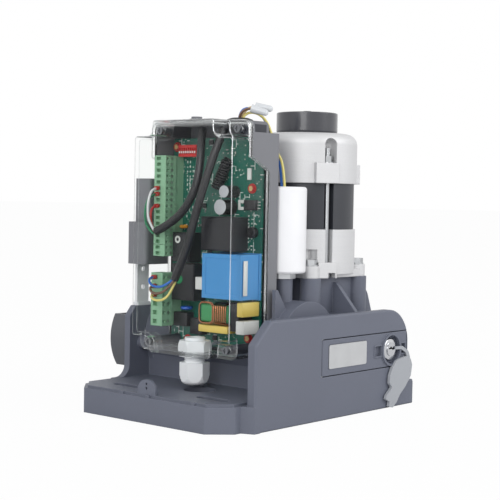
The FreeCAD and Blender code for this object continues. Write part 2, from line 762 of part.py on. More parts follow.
def gearbox_cover():
    """Round plate in the gate side that closes the gear case and holds a bearing."""
    centre = (wheel_x, wheel_z)
    flange_y = gate_face_y - cover_flange_thick
    flange = rod("Y", cover_flange_r, centre, flange_y, gate_face_y - 0.2)
    spigot = ring("Y", wheel_cavity_r - 0.15, wheel_cavity_r - 3.5, centre, flange_y - 7, flange_y + 1)
    boss = rod("Y", bearing_dia / 2 + 5, centre, rear_bearing_y, flange_y + 1)
    solid = join(flange, spigot, boss)
    web = []
    for i in range(6):
        plate = box(wheel_x + bearing_dia / 2 + 3, wheel_x + wheel_cavity_r - 1, flange_y - 6, flange_y + 1,
                    wheel_z - 1.5, wheel_z + 1.5)
        web.append(turned(plate, "Y", centre, 60 * i + 30))
    solid = join(solid, *web)
    bearing_seat = rod("Y", bearing_dia / 2 + seat_gap, centre, rear_bearing_y - 1, rear_bearing_y + bearing_width)
    solid = solid.cut(bearing_seat)
    solid = solid.cut(rod("Y", shaft_dia / 2 + 1.5, centre, 60, gate_face_y + 1))
    solid = solid.cut(rod("Y", seal_r + seat_gap, centre, gate_face_y - 0.2 - seal_width, gate_face_y + 1))
    for place in cover_screw_places():
        solid = solid.cut(rod("Y", cover_screw_dia / 2 + 0.3, place, flange_y - 1, gate_face_y + 1))
    return solid


def oil_seal():
    centre = (wheel_x, wheel_z)
    end = gate_face_y - 0.2
    return ring("Y", seal_r, shaft_dia / 2 + running_gap, centre, end - seal_width, end).cut(
        ring("Y", seal_r - 2, shaft_dia / 2 + 2, centre, end - 1.2, end + 1))


def cover_screws():
    """Four low-head screws that hold the gear case cover."""
    flange_y = gate_face_y - cover_flange_thick
    screws = []
    for place in cover_screw_places():
        shank = rod("Y", cover_screw_dia / 2, place, gate_face_y - 16, gate_face_y - 1)
        head = rod("Y", 2.6, place, gate_face_y - 0.2, gate_face_y + 1.6)
        neck = rod("Y", cover_screw_dia / 2, place, flange_y, gate_face_y)
        screws.append(join(shank, neck, head).cut(hexagon("Y", 2.5, place, gate_face_y + 0.4, gate_face_y + 2)))
    return screws


def pinion():
    """Straight-toothed rack pinion with its hub."""
    module = pinion_module
    pitch_r = module * pinion_teeth / 2
    points = toothed_profile(pinion_teeth, module, pitch_r + module, pitch_r - 1.25 * module, 0.48)
    centre = (wheel_x, wheel_z)
    wire = gear_wire(points, centre, pinion_start_y, math.radians(90))
    teeth = Part.Face(wire).extrude(V(0, pinion_width, 0))
    for y0, y1 in ((pinion_start_y - 1, pinion_start_y + 2.5),
                   (pinion_start_y + pinion_width - 2.5, pinion_start_y + pinion_width + 1)):
        teeth = teeth.cut(ring("Y", 22, 15, centre, y0, y1))
    return teeth.cut(rod("Y", shaft_dia / 2, centre, pinion_start_y - 1, pinion_start_y + pinion_width + 1))


def pinion_bolt():
    centre = (wheel_x, wheel_z)
    end = pinion_start_y + pinion_width
    washer = ring("Y", 14, 4, centre, end, shaft_end_y)
    washer = join(washer.cut(rod("Y", shaft_dia / 2, centre, end, shaft_end_y)),
                  rod("Y", 14, centre, shaft_end_y, shaft_end_y + 1.6))
    head = hexagon("Y", 13, centre, shaft_end_y + 1.6, shaft_end_y + 5.2)
    shank = rod("Y", 3.95, centre, shaft_end_y - 17, shaft_end_y + 2)
    return join(washer, head, shank)


def guard_screw_places():
    return [(wheel_x - guard_r - 5.5, wheel_z), (wheel_x + guard_r + 5.5, wheel_z)]


def pinion_guard():
    """Cup round the pinion, open above for the rack and below for dirt."""
    centre = (wheel_x, wheel_z)
    cup = rod("Y", guard_r, centre, gate_face_y, guard_end_y)
    for place in guard_screw_places():
        toward = 8 if place[0] < wheel_x else -8
        low = min(place[0] - 6, place[0] + toward)
        high = max(place[0] + 6, place[0] + toward)
        ear = rectangle(low, high, wheel_z - 7, wheel_z + 7, 3)
        cup = cup.fuse(prism("Y", ear, gate_face_y, gate_face_y + 4))
    solid = cup.cut(rod("Y", guard_r - guard_wall, centre, gate_face_y - 1, guard_end_y - guard_wall))
    solid = solid.common(box(wheel_x - 80, wheel_x + 80, gate_face_y, guard_end_y,
                             guard_cut_bottom_z, guard_cut_top_z))
    for place in guard_screw_places():
        solid = solid.cut(rod("Y", 2.2, place, gate_face_y - 2, gate_face_y + 6))
    return solid.removeSplitter()


def guard_screws():
    screws = []
    for place in guard_screw_places():
        shank = rod("Y", 1.95, place, gate_face_y - 11, gate_face_y + 4)
        head = rod("Y", 3.5, place, gate_face_y + 4, gate_face_y + 6.4)
        screws.append(join(shank, head).cut(hexagon("Y", 2.5, place, gate_face_y + 5, gate_face_y + 7)))
    return screws


# Motor

def lower_shield():
    """Cast bottom shield with its square mounting flange and the rod lugs."""
    centre = (motor_x, motor_y)
    x, y = centre
    flange = prism("Z", rectangle(x - shield_half, x + shield_half, y - shield_half, y + shield_half, 9),
                   tower_top_z, 122.5)
    bell = rod("Z", shield_r, centre, tower_top_z + 3, stator_bottom_z)
    parts = [flange.common(rod("Z", 53, centre, 100, 140)), bell]
    for place in tie_rod_places():
        parts.append(rod_lug(place, 9, (-15, 6.5), tower_top_z, shield_flange_top_z))
    for px, py in flange_bolt_places():
        parts.append(rod("Z", 7.5, (px, py), tower_top_z, 126))
    solid = join(*parts)
    solid = solid.cut(rod("Z", shield_r - 4, centre, 132, stator_bottom_z + 1))
    sleeves = [rod("Z", 6.0, place, 130, stator_bottom_z) for place in tie_rod_places()]
    solid = join(solid, *sleeves)
    solid = solid.cut(rod("Z", 12, centre, tower_top_z - 1, 133))
    solid = solid.cut(rod("Z", 17.5 + seat_gap, centre, 121, 133))
    solid = solid.fuse(ring("Z", worm_room_r - 0.1, 14, centre, tower_top_z - 5, tower_top_z + 1))
    for place in tie_rod_places():
        solid = solid.cut(rod("Z", rod_dia / 2 + 0.15, place, tower_top_z - 1, stator_bottom_z + 1))
        solid = solid.cut(rod("Z", 5.2, place, tower_top_z - 1, tower_top_z + 4.5))
        solid = solid.cut(rod_lug(place, 12, (-2, 5), tower_top_z - 1, tower_top_z + 4.5, 0))
        solid = solid.cut(rod_channel(place, rod_dia / 2 + 1.2, shield_flange_top_z, stator_bottom_z + 1))
    for place in flange_bolt_places():
        solid = solid.cut(rod("Z", flange_bolt_dia / 2 + 0.3, place, tower_top_z - 1, 140))
        solid = solid.cut(rod("Z", 6.6, place, 126, 140))
    return solid.removeSplitter()


def rod_lug(place, out, sides, start, end, inward=14):
    """Block round a tie rod, from inward of it to out of it and uneven to its two sides."""
    block = box(-inward, out, sides[0], sides[1], start, end)
    block.translate(V(place[0], place[1], 0))
    angle = math.degrees(math.atan2(place[1] - motor_y, place[0] - motor_x))
    return turned(block, "Z", place, angle)


def rod_channel(place, r, start, end):
    """Open channel for a tie rod, cut in from the outside."""
    reach = box(0, 30, -r, r, start, end)
    reach.translate(V(place[0], place[1], 0))
    angle = math.degrees(math.atan2(place[1] - motor_y, place[0] - motor_x))
    return rod("Z", r, place, start, end).fuse(turned(reach, "Z", place, angle))


def winding_places():
    return around(12, 30.0, (motor_x, motor_y), 15)


def stator_core():
    """Laminated ring with a groove for each tie rod."""
    centre = (motor_x, motor_y)
    solid = ring("Z", stator_r, rotor_r + 0.5, centre, stator_bottom_z, stator_top_z)
    for place in tie_rod_places():
        solid = solid.cut(rod_channel(place, 4.5, stator_bottom_z - 1, stator_top_z + 1))
    for place in winding_places():
        solid = solid.cut(rod("Z", winding_slot_r, place, stator_bottom_z - 1, stator_top_z + 1))
    return solid


def stator_windings():
    """Copper end turns above and below the core, joined through its slots."""
    centre = (motor_x, motor_y)
    parts = []
    for z0, z1 in ((stator_bottom_z - 18, stator_bottom_z), (stator_top_z, stator_top_z + 13)):
        parts.append(ring("Z", 32.4, rotor_r + 1.5, centre, z0, z1))
    for place in winding_places():
        parts.append(rod("Z", winding_slot_r, place, stator_bottom_z - 1, stator_top_z + 1))
    return join(*parts)


def rotor_core():
    centre = (motor_x, motor_y)
    solid = rod("Z", rotor_r, centre, stator_bottom_z - 3, stator_top_z + 3)
    for place in around(16, rotor_r - 3, centre, 0):
        solid = solid.cut(rod("Z", 1.2, place, stator_bottom_z - 4, stator_top_z + 4))
    return solid.cut(rod("Z", motor_shaft_dia / 2, centre, stator_bottom_z - 4, stator_top_z + 4))


def upper_shield():
    """Cast top shield, a cup with a round shoulder, four rod bosses and a bearing seat."""
    centre = (motor_x, motor_y)
    r = upper_shield_r
    top = upper_shield_top_z
    shoulder = 10.0
    profile = outline("Y", [(0, stator_top_z, 0), (r, stator_top_z, 0), (r, top, shoulder), (0, top, 0)], 0)
    outer = Part.Face(profile).revolve(V(0, 0, 0), V(0, 0, 1), 360)
    outer.translate(V(motor_x, motor_y, 0))
    inner = outline("Y", [(0, stator_top_z - 1, 0), (r - 3.5, stator_top_z - 1, 0),
                          (r - 3.5, top - 4, shoulder - 3.5), (0, top - 4, 0)], 0)
    hollow = Part.Face(inner).revolve(V(0, 0, 0), V(0, 0, 1), 360)
    hollow.translate(V(motor_x, motor_y, 0))
    linings = []
    bosses = []
    for place in tie_rod_places():
        lining = rod("Z", scoop_r + 2.5, place, boss_top_z - 3, top).common(outer)
        linings.append(lining.cut(rod("Z", 24, centre, boss_top_z - 4, top + 1)))
        bosses.append(rod_lug(place, 8, (-15, 7.5), stator_top_z, boss_top_z))
    seat = ring("Z", 21, 17.5 + seat_gap, centre, top - 15, top - 3)
    solid = join(outer.cut(hollow), seat, *linings, *bosses)
    solid = solid.cut(rod("Z", 33.5, centre, stator_top_z - 1, boss_top_z - 3))
    solid = solid.cut(rod("Z", motor_shaft_dia / 2 + 1, centre, top - 10, top - 1))
    for place in tie_rod_places():
        dome_z = top - scoop_r - 5
        solid = solid.cut(rod_channel(place, scoop_r, boss_top_z, dome_z))
        outward = V(place[0] - motor_x, place[1] - motor_y, 0)
        spot = V(place[0], place[1], dome_z)
        arch = Part.makeCylinder(scoop_r, 20, spot, outward).fuse(Part.makeSphere(scoop_r, spot))
        solid = solid.cut(arch)
        solid = solid.cut(rod("Z", rod_dia / 2 + 0.15, place, stator_top_z - 1, boss_top_z + 1))
    return solid.removeSplitter()


def motor_bearings():
    centre = (motor_x, motor_y)
    inner = motor_shaft_dia / 2 + running_gap
    return [bearing("Z", centre, motor_bearing_r, inner, worm_floor_z - lower_bearing_width, worm_floor_z),
            bearing("Z", centre, 17.5, inner, 121, 132),
            bearing("Z", centre, 17.5, inner, upper_shield_top_z - 15, upper_shield_top_z - 4)]


def tie_rods():
    return [rod("Z", rod_dia / 2, place, tower_top_z + 0.5, 228) for place in tie_rod_places()]


def tie_rod_nuts():
    nuts = []
    for place in tie_rod_places():
        top = hexagon("Z", 8, place, boss_top_z + 1, boss_top_z + 6, 17)
        washer = rod("Z", 5, place, boss_top_z, boss_top_z + 1)
        low = hexagon("Z", 8, place, tower_top_z + 0.5, tower_top_z + 4.5, 17)
        bore = rod("Z", rod_dia / 2, place, 100, 240)
        nuts.append(join(top, washer).cut(bore))
        nuts.append(low.cut(bore))
    return nuts


def flange_bolts():
    bolts = []
    for place in flange_bolt_places():
        shank = rod("Z", flange_bolt_dia / 2, place, flange_bolt_end_z, 128)
        washer = rod("Z", 6.2, place, 126, 127.4)
        head = hexagon("Z", 10, place, 127.4, 131.6, 10)
        bolts.append(join(shank, washer, head))
    return bolts


def motor_cap():
    """Plastic cap over the shaft's top end, dished, with a small centre nub."""
    centre = (motor_x, motor_y)
    z0 = upper_shield_top_z
    points = [(0, z0, 0), (cap_r - 1.5, z0, 0), (cap_r, z0 + 2, 1), (cap_r, cap_top_z, 1),
              (cap_r - 5, cap_top_z, 1), (cap_r - 6.5, cap_top_z - 1.6, 1), (4.5, cap_top_z - 0.8, 0),
              (4, cap_top_z + 2, 0.8), (0, cap_top_z + 2, 0)]
    solid = Part.Face(outline("Y", points, 0)).revolve(V(0, 0, 0), V(0, 0, 1), 360)
    hollow = outline("Y", [(0, z0 - 1, 0), (cap_r - 3, z0 - 1, 0), (cap_r - 3, cap_top_z - 5, 2),
                           (0, cap_top_z - 5, 0)], 0)
    solid = solid.cut(Part.Face(hollow).revolve(V(0, 0, 0), V(0, 0, 1), 360))
    solid.translate(V(motor_x, motor_y, 0))
    return solid


def capacitor():
    centre = (capacitor_x, capacitor_y)
    r = capacitor_dia / 2
    top = capacitor_z + capacitor_height
    points = [(0, capacitor_z, 0), (r - 1, capacitor_z, 0), (r, capacitor_z + 1.5, 0.5), (r, top, 2.5),
              (r - 3.5, top, 0.6), (r - 4.2, top - 2, 0), (0, top - 2, 0)]
    can = Part.Face(outline("Y", points, 0)).revolve(V(0, 0, 0), V(0, 0, 1), 360)
    can.translate(V(centre[0], centre[1], 0))
    stud = rod("Z", 3, centre, capacitor_z - 17, capacitor_z + 1)
    return join(can, stud)


def capacitor_nut():
    centre = (capacitor_x, capacitor_y)
    return hexagon("Z", 17, centre, capacitor_z - 5, capacitor_z, 12).cut(
        rod("Z", 3, centre, capacitor_z - 6, capacitor_z + 1))


# Control box

def box_outline(inset):
    return rectangle(-box_half_y + inset, box_half_y - inset, box_bottom_z + inset, box_top_z - inset,
                     box_round - inset * 0.8)


def notched_outline(inset, low_too):
    """Front outline whose corners curve inwards round the screws, the low ones if asked."""
    y = box_half_y - inset
    low = box_bottom_z + inset
    high = box_top_z - inset
    ny = notch_y
    nz = notch_z
    inner_r = 6.0 + inset
    outer_r = 3.0
    top = [(y, high - nz, outer_r), (y - ny, high - nz, inner_r), (y - ny, high, outer_r),
           (-y + ny, high, outer_r), (-y + ny, high - nz, inner_r), (-y, high - nz, outer_r)]
    if low_too:
        return [(-y + ny, low, outer_r), (y - ny, low, outer_r), (y - ny, low + nz, inner_r),
                (y, low + nz, outer_r)] + top + [(-y, low + nz, outer_r), (-y + ny, low + nz, inner_r)]
    corner = box_round - inset * 0.8
    return [(-y, low, corner), (y, low, corner)] + top


def behind_seam(shift):
    """Everything on the motor side of the sloping joint between cover and back."""
    low = box_seam_x + shift
    high = box_seam_high_x + shift
    return prism("Y", [(low, box_bottom_z - 20, 0), (low, seam_low_z, 0), (high, seam_high_z, 0),
                       (high, box_top_z + 20, 0), (box_back_x + 40, box_top_z + 20, 0),
                       (box_back_x + 40, box_bottom_z - 20, 0)], -100, 100)


def cover_screw_posts():
    places = []
    for sy in (-1, 1):
        places.append((sy * cover_screw_y, box_bottom_z + cover_screw_inset_z))
        places.append((sy * cover_screw_y, box_top_z - cover_screw_inset_z))
    return places


def notch_floor_x(z):
    """Where the head of a cover screw rests, deeper for the upper screws."""
    return box_front_x + (top_notch_depth if z > deck_top_z else notch_depth)


def rear_steps(grow):
    """Steps along the two top edges of the box's back."""
    steps = []
    for side in (-1, 1):
        near = min(side * (step_y - grow), side * (box_half_y + 5))
        far = max(side * (step_y - grow), side * (box_half_y + 5))
        steps.append(box(step_x - grow, box_back_x + 5, near, far, step_z - grow, box_top_z + 5))
    return steps


def clear_cover():
    """Clear front shell, its corners set back where the screws go."""
    low_x = box_front_x + notch_depth
    high_x = box_front_x + top_notch_depth
    wall_x = box_wall
    outer = join(prism("X", notched_outline(0, True), box_front_x, low_x + 1),
                 prism("X", notched_outline(0, False), low_x, high_x + 1),
                 prism("X", box_outline(0), high_x, box_back_x))
    hollow = join(prism("X", notched_outline(wall_x, True), box_front_x + wall_x, low_x + wall_x + 1),
                  prism("X", notched_outline(wall_x, False), low_x + wall_x, high_x + wall_x + 1),
                  prism("X", box_outline(wall_x), high_x + wall_x, box_back_x + 1))
    bead = prism("X", box_outline(-1.0), box_seam_high_x - 5, box_back_x).common(behind_seam(-3.0))
    bead = bead.common(box(-100, 0, -100, 100, box_bottom_z + 16, box_top_z - 2))
    solid = outer.fuse(bead).cut(hollow).cut(behind_seam(-gasket_thick / 2))
    for place in cover_screw_posts():
        floor_x = notch_floor_x(place[1])
        solid = solid.cut(rod("X", 2.3, place, floor_x - 1, floor_x + wall_x + 1))
    solid = solid.cut(rod("Z", gland_thread_r + 0.2, (gland_x, gland_y), box_bottom_z - 2,
                          box_bottom_z + wall_x + 1))
    return solid.removeSplitter()


def control_box_back():
    """Grey back of the control box with posts for the board and the cover screws."""
    start = box_seam_high_x - 2
    side_view = prism("Y", [(start, 0, 0), (box_back_x, 0, 0), (box_back_x, box_top_z, 5), (start, box_top_z, 0)],
                      -100, 100)
    outer = prism("X", box_outline(0), start, box_back_x).common(side_view)
    outer = outer.cut(box(box_low_back_x, 0, -100, 100, 0, deck_top_z)).cut(Part.makeCompound(rear_steps(0)))
    thin = box(box_low_back_x - box_wall, 0, -100, 100, 0, deck_top_z + box_wall)
    hollow = prism("X", box_outline(box_wall), start - 1, box_back_x - 3).cut(thin)
    hollow = hollow.cut(Part.makeCompound(rear_steps(box_wall)))
    solid = outer.cut(hollow).common(behind_seam(gasket_thick / 2))
    posts = []
    for y, z in cover_screw_posts():
        end = step_x - 0.5 if z > deck_top_z else box_low_back_x - 1
        posts.append(rod("X", 4.2, (y, z), notch_floor_x(z) + box_wall + 0.3, end))
    for y, z in board_screw_places():
        end = box_back_x - 2 if z > deck_top_z else box_low_back_x - 1
        posts.append(rod("X", 3.2, (y, z), board_x + board_thick, end))
    solid = join(solid, *posts)
    holes = []
    for y, z in cover_screw_posts():
        holes.append(rod("X", 1.5, (y, z), notch_floor_x(z), notch_floor_x(z) + cover_screw_reach(z) + 0.4))
    for place in board_screw_places():
        holes.append(rod("X", 1.5, place, board_x, board_x + board_screw_length))
    for place in bracket_screw_places():
        holes.append(rod("X", 2.2, place, box_back_x - 5, box_back_x + 1))
    holes.append(rod("Z", grommet_r - 3, (grommet_x, grommet_y), box_top_z - 6, box_top_z + 1))
    for hole in holes:
        solid = solid.cut(hole)
    return solid.removeSplitter()


def cover_gasket():
    """Dark seal in the joint between the clear cover and the back."""
    seal = prism("X", box_outline(0.4), box_seam_high_x - 4, box_back_x).cut(
        prism("X", box_outline(box_wall - 0.2), box_seam_high_x - 5, box_back_x + 1))
    return seal.common(behind_seam(-gasket_thick / 2)).cut(behind_seam(gasket_thick / 2))


def cover_screw_reach(z):
    """How far a cover screw goes in: the upper ones stop short of the step."""
    return 6.2 if z > deck_top_z else 16.0


def box_screws():
    """Four pan-head screws in the cover's corners."""
    screws = []
    for place in cover_screw_posts():
        floor_x = notch_floor_x(place[1])
        head = rod("X", 3.3, place, floor_x - 2.4, floor_x)
        cross = join(box(floor_x - 3, floor_x - 1.4, place[0] - 2, place[0] + 2, place[1] - 0.5, place[1] + 0.5),
                     box(floor_x - 3, floor_x - 1.4, place[0] - 0.5, place[0] + 0.5, place[1] - 2, place[1] + 2))
        shank = rod("X", 1.5, place, floor_x - 0.5, floor_x + cover_screw_reach(place[1]))
        screws.append(join(head, shank).cut(cross))
    return screws


def bracket_screws():
    screws = []
    for place in bracket_screw_places():
        head = rod("X", 3.6, place, box_back_x - 5.4, box_back_x - 3)
        shank = rod("X", 2.0, place, box_back_x - 3.5, box_back_x + 8)
        screws.append(join(head, shank))
    return screws


def gland_body():
    """Upper part of the cable gland, with its hexagon and both threads."""
    centre = (gland_x, gland_y)
    hexa = hexagon("Z", 22.5, centre, box_bottom_z - 2.3, box_bottom_z, 15)
    top = rod("Z", gland_thread_r, centre, box_bottom_z - 1, box_bottom_z + 14)
    low = rod("Z", gland_thread_r, centre, 38, box_bottom_z - 2)
    solid = join(hexa, top, low)
    for z in (box_bottom_z - 3.8, box_bottom_z - 5.4):
        solid = solid.cut(ring("Z", gland_thread_r + 1, gland_thread_r - 0.6, centre, z, z + 0.8))
    return solid.cut(rod("Z", 6.0, centre, 30, box_bottom_z + 20))


def gland_locknut():
    centre = (gland_x, gland_y)
    floor = box_bottom_z + box_wall
    nut = hexagon("Z", 24.5, centre, floor, floor + 9.0, 15).common(
        cone("Z", 15.5, 13.0, centre, floor - 0.01, floor + 9.1))
    return nut.cut(rod("Z", gland_thread_r, centre, floor - 1, floor + 12))


def gland_nut():
    """Dome nut with rounded end."""
    centre = (gland_x, gland_y)
    top = 45.1
    bottom = 26.4
    dome = outline("Y", [(0, bottom, 0), (10.2, bottom, 5), (12.1, bottom + 5.5, 1), (12.1, bottom + 7, 0),
                         (14, bottom + 7.5, 0), (14, top, 1), (0, top, 0)], 0)
    solid = Part.Face(dome).revolve(V(0, 0, 0), V(0, 0, 1), 360)
    solid.translate(V(gland_x, gland_y, 0))
    solid = solid.common(hexagon("Z", 22, centre, bottom - 1, top + 1, 15))
    return solid.cut(rod("Z", gland_thread_r, centre, 38, top + 1)).cut(rod("Z", 5.0, centre, bottom - 1, 39))


def gland_seal():
    centre = (gland_x, gland_y)
    return ring("Z", 5.95, 3.5, centre, 39, 50)


def top_grommet():
    """Black rubber bush where the motor's wires enter the box."""
    centre = (grommet_x, grommet_y)
    points = [(4, box_top_z - 4, 0), (grommet_r - 3.1, box_top_z - 4, 0), (grommet_r - 3.1, box_top_z, 0),
              (grommet_r, box_top_z, 0), (grommet_r, box_top_z + 1.5, 0.6), (grommet_r - 4, box_top_z + 3, 1),
              (4, box_top_z + 3, 0.6)]
    solid = Part.Face(outline("Y", points, 0)).revolve(V(0, 0, 0), V(0, 0, 1), 360)
    solid.translate(V(centre[0], centre[1], 0))
    return solid


def top_boss_screw():
    """Low cone on the box's top with a screw in it."""
    centre = (top_boss_x, top_boss_y)
    solid = join(cone("Z", 11, 6, centre, box_top_z, box_top_z + 2.6),
                 rod("Z", 4.6, centre, box_top_z + 2, box_top_z + 4.4))
    return solid.cut(box(centre[0] - 3.2, centre[0] + 3.2, centre[1] - 0.5, centre[1] + 0.5,
                         box_top_z + 3.4, box_top_z + 5))


# Circuit board and what stands on it

def board_screw_places():
    return [(46.6, 226.8), (-40.0, 191.3), (-38.8, 66.6), (30.5, 60.0)]


def circuit_board():
    solid = prism("X", rectangle(-board_half_y, board_half_y, board_bottom_z, board_top_z, 1.5),
                  board_x, board_x + board_thick)
    for place in cover_screw_posts():
        solid = solid.cut(rod("X", 5.2, place, board_x - 1, board_x + board_thick + 1))
    for place in board_screw_places():
        solid = solid.cut(rod("X", 1.7, place, board_x - 1, board_x + board_thick + 1))
    return solid


def board_screws():
    screws = []
    for place in board_screw_places():
        washer = rod("X", 4.2, place, board_x - 0.8, board_x)
        head = rod("X", 3.0, place, board_x - 2.6, board_x - 0.8)
        shank = rod("X", 1.45, place, board_x - 1, board_x + board_screw_length)
        slot = box(board_x - 3, board_x - 1.9, place[0] - 2.4, place[0] + 2.4, place[1] - 0.4, place[1] + 0.4)
        screws.append(join(washer, head, shank).cut(slot))
    return screws


def terminal_strip(front_x, top_z, pitch, count, entry, split_after):
    """Pluggable screw terminals: wire mouths in front, screw wells on the side."""
    bottom = top_z - pitch * count
    solid = join(box(front_x, front_x + 13, strip_y0, strip_y1, bottom, top_z),
                 box(front_x + 12.5, board_x, strip_y0 + 1.5, strip_y1 - 1, bottom + 0.4, top_z - 0.4))
    holes = []
    for i in range(count):
        z = top_z - pitch * (i + 0.5)
        holes.append(box(front_x - 1, front_x + 3.5, strip_y0 + 6, strip_y1 - 2.5, z - entry / 2, z + entry / 2))
        holes.append(box(front_x + 1.2, front_x + 3.6, strip_y0 - 1, strip_y0 + 2.2, z - entry / 3, z + entry / 3))
    for i in split_after:
        z = top_z - pitch * i
        holes.append(box(front_x - 1, front_x + 1.5, strip_y0 - 1, strip_y1 + 1, z - 0.25, z + 0.25))
    return solid.cut(Part.makeCompound(holes))


def dip_switch():
    body = box(board_x - 8, board_x, dip_y - 10.3, dip_y + 10.3, 218.0, 228.0)
    for i in range(8):
        y = dip_y + (i - 3.5) * 2.54
        body = body.cut(box(board_x - 9, board_x - 6, y - 0.75, y + 0.75, 220.4, 225.6))
    return body


def dip_sliders():
    sliders = []
    for i in range(8):
        y = dip_y + (i - 3.5) * 2.54
        sliders.append(box(board_x - 8.8, board_x - 6.0, y - 0.5, y + 0.5, 221.0, 222.8))
    return sliders


def board_transformer():
    """Blue encapsulated mains transformer."""
    x0 = -70.0
    block = box(x0, board_x - 0.2, -50.5, -8.0, 100.0, 137.0)
    rim = box(x0 + 3, board_x, -51.3, -7.2, 99.2, 137.8).cut(box(x0, board_x - 3, -60, 0, 90, 150))
    panel = box(x0 - 1, x0 + 0.5, -46.5, -12.0, 103.5, 133.5)
    return join(block, rim).cut(panel)


def relays():
    """Black relays, the large one for the motor and two smaller ones."""
    blocks = [box(-65, board_x, -36.0, -1.0, 139.2, 167.4),
              box(-60, board_x, 17.0, 37.0, 128.0, 153.0),
              box(-60, board_x, 11.0, 37.0, 95.0, 126.5)]
    trimmed = []
    for block in blocks:
        low = block.BoundBox
        edge = box(low.XMin - 1, low.XMin + 0.8, low.YMin - 1, low.YMax + 1, low.ZMin - 1, low.ZMax + 1).cut(
            box(low.XMin - 1, low.XMin + 0.8, low.YMin + 0.8, low.YMax - 0.8, low.ZMin + 0.8, low.ZMax - 0.8))
        trimmed.append(block.cut(edge))
    return trimmed


def noise_choke():
    """Ferrite frame with two copper windings."""
    centre_z = 86.5
    core = prism("X", rectangle(-28.5, 3.0, centre_z - 8.5, centre_z + 8.5, 7), -58, board_x)
    core = core.cut(prism("X", rectangle(-21, -5, centre_z - 2.5, centre_z + 2.5, 2), -59, board_x - 2))
    bars = [ring("Y", 4.4, 2.0, (-61.0, centre_z), -26 + 3.2 * i, -24 + 3.2 * i) for i in range(8)]
    spine = rod("Y", 2.1, (-61.0, centre_z), -27, 0)
    foot = box(-61, -57, -17, -9, centre_z - 8.4, centre_z - 4)
    return join(core, spine, *bars, box(-61.5, -57.5, -27, -24, centre_z - 4, centre_z + 4), foot)


def film_capacitors():
    return [box(-58, board_x, -26.4, 6.7, 69.8, 76.0), box(-66, board_x, -50.0, -43.5, 86.0, 98.0)]


def ceramic_block():
    return box(-64, board_x, -50.0, -41.0, 71.5, 82.5)


def electrolytics():
    caps = []
    for y, z, r, x in ((-21.5, 188.5, 5.0, -60.0), (-17.5, 175.5, 6.3, -60.0)):
        can = rod("X", r, (y, z), x, board_x)
        can = can.cut(ring("X", r + 1, r - 0.5, (y, z), board_x - 3.4, board_x - 2.4))
        caps.append(can)
    return caps


def power_transistor():
    body = box(-60, -45.5, -47.0, -36.5, 171.5, 182.0).cut(box(-61, -57.2, -48, -36, 170, 176.5))
    tab = box(-62.5, -45.2, -48.6, -47.0, 171.5, 182.0).cut(rod("Y", 1.9, (-59.5, 177), -50, -46))
    legs = [box(-46, board_x, -43.0, -42.2, z - 0.4, z + 0.4) for z in (174.3, 176.8, 179.3)]
    return join(body, tab, *legs)


def air_coil():
    """Black wire choke, wound as close rings on a slanting rod."""
    start = V(-50.0, -4.5, 191.5)
    end = V(-50.0, -16.5, 215.0)
    axis = end - start
    length = axis.Length
    axis.normalize()
    core = Part.makeCylinder(2.6, length, start, axis)
    rings = []
    for i in range(9):
        spot = start + axis * (length * (i + 0.5) / 9 - 0.85)
        rings.append(Part.makeCylinder(4.6, 1.7, spot, axis))
    leg = rod("X", 0.6, (-5.5, 193.47), -50.0, board_x)
    far_leg = rod("X", 0.6, (-15.5, 213.03), -50.0, board_x)
    return join(core, leg, far_leg, *rings)


# Wires

def ferrules():
    tips = []
    for wires in (wires_a, wires_b):
        for route in wires.values():
            end = V(*route[-1])
            back = V(*route[-2]) - end
            back.normalize()
            sleeve = Part.makeCylinder(ferrule_dia / 2, 3.6, end, back)
            tips.append(sleeve.cut(Part.makeCylinder(wire_dia / 2 + 0.02, 6, end - back, back)))
    return tips


def wire_connectors():
    """Closed-end crimp caps on two of the motor's wires."""
    caps = []
    for name in ("blue", "tan"):
        before = V(*top_routes[name][-2])
        end = V(*top_routes[name][-1])
        axis = end - before
        axis.normalize()
        mouth = end - axis * 5
        cap = Part.makeCone(3.6, 2.7, 12, mouth, axis).fuse(Part.makeSphere(2.7, mouth + axis * 12))
        caps.append(cap.cut(Part.makeCylinder(wire_dia / 2 + 0.15, 6.2, mouth - axis, axis)))
    return caps


# Release door and lock

def release_door():
    """Flush door in the panel: it swings out on an upright pin and frees the drive."""
    x_round = door_thick / 2
    plate = prism("Z", [(door_near_x, panel_face_y, x_round - 0.01), (door_far_x, panel_face_y, 0.8),
                        (door_far_x, door_back_y, 0.8), (door_near_x, door_back_y, x_round - 0.01)],
                  door_bottom_z, door_top_z)
    boss = rod("Y", 14.0, (lock_x, lock_z), door_back_y - 0.5, door_back_y + 3.0)
    rim = rod("Y", lock_rim_r, (lock_x, lock_z), lock_rim_y, panel_face_y + 1)
    ears = box(lock_x - 26, door_far_x - 1.6, lock_rim_y, panel_face_y + 1, lock_z - 5.5, lock_z + 5.5)
    solid = join(plate, boss, rim, ears)
    solid = solid.cut(rod("Y", lock_pocket_r, (lock_x, lock_z), panel_face_y - 1, lock_floor_y))
    for x0, x1 in ((lock_x - 24.8, lock_x - lock_rim_r - 0.6), (lock_x + lock_rim_r + 0.6, door_far_x - 2.8)):
        solid = solid.cut(box(x0, x1, panel_face_y - 2, panel_face_y + 2.4, lock_z - 4.3, lock_z + 4.3))
    solid = solid.cut(rod("Y", lock_barrel_r + seat_gap, (lock_x, lock_z), panel_face_y, door_back_y + 4))
    solid = solid.cut(rod("Z", hinge_pin_r + 0.06, (hinge_x, hinge_y), door_bottom_z - 1, door_top_z + 1))
    solid = solid.cut(prism("Y", rectangle(plate_x0 - 0.2, plate_x1 + 0.2, plate_z0 - 0.2, plate_z1 + 0.2, 2.0),
                            panel_face_y - 1, panel_face_y + 0.6))
    return solid.removeSplitter()


def label_plate():
    """Bare metal plate let into the door."""
    shape = rectangle(plate_x0, plate_x1, plate_z0, plate_z1, 1.8)
    return prism("Y", shape, panel_face_y - 0.5, panel_face_y + 0.6)


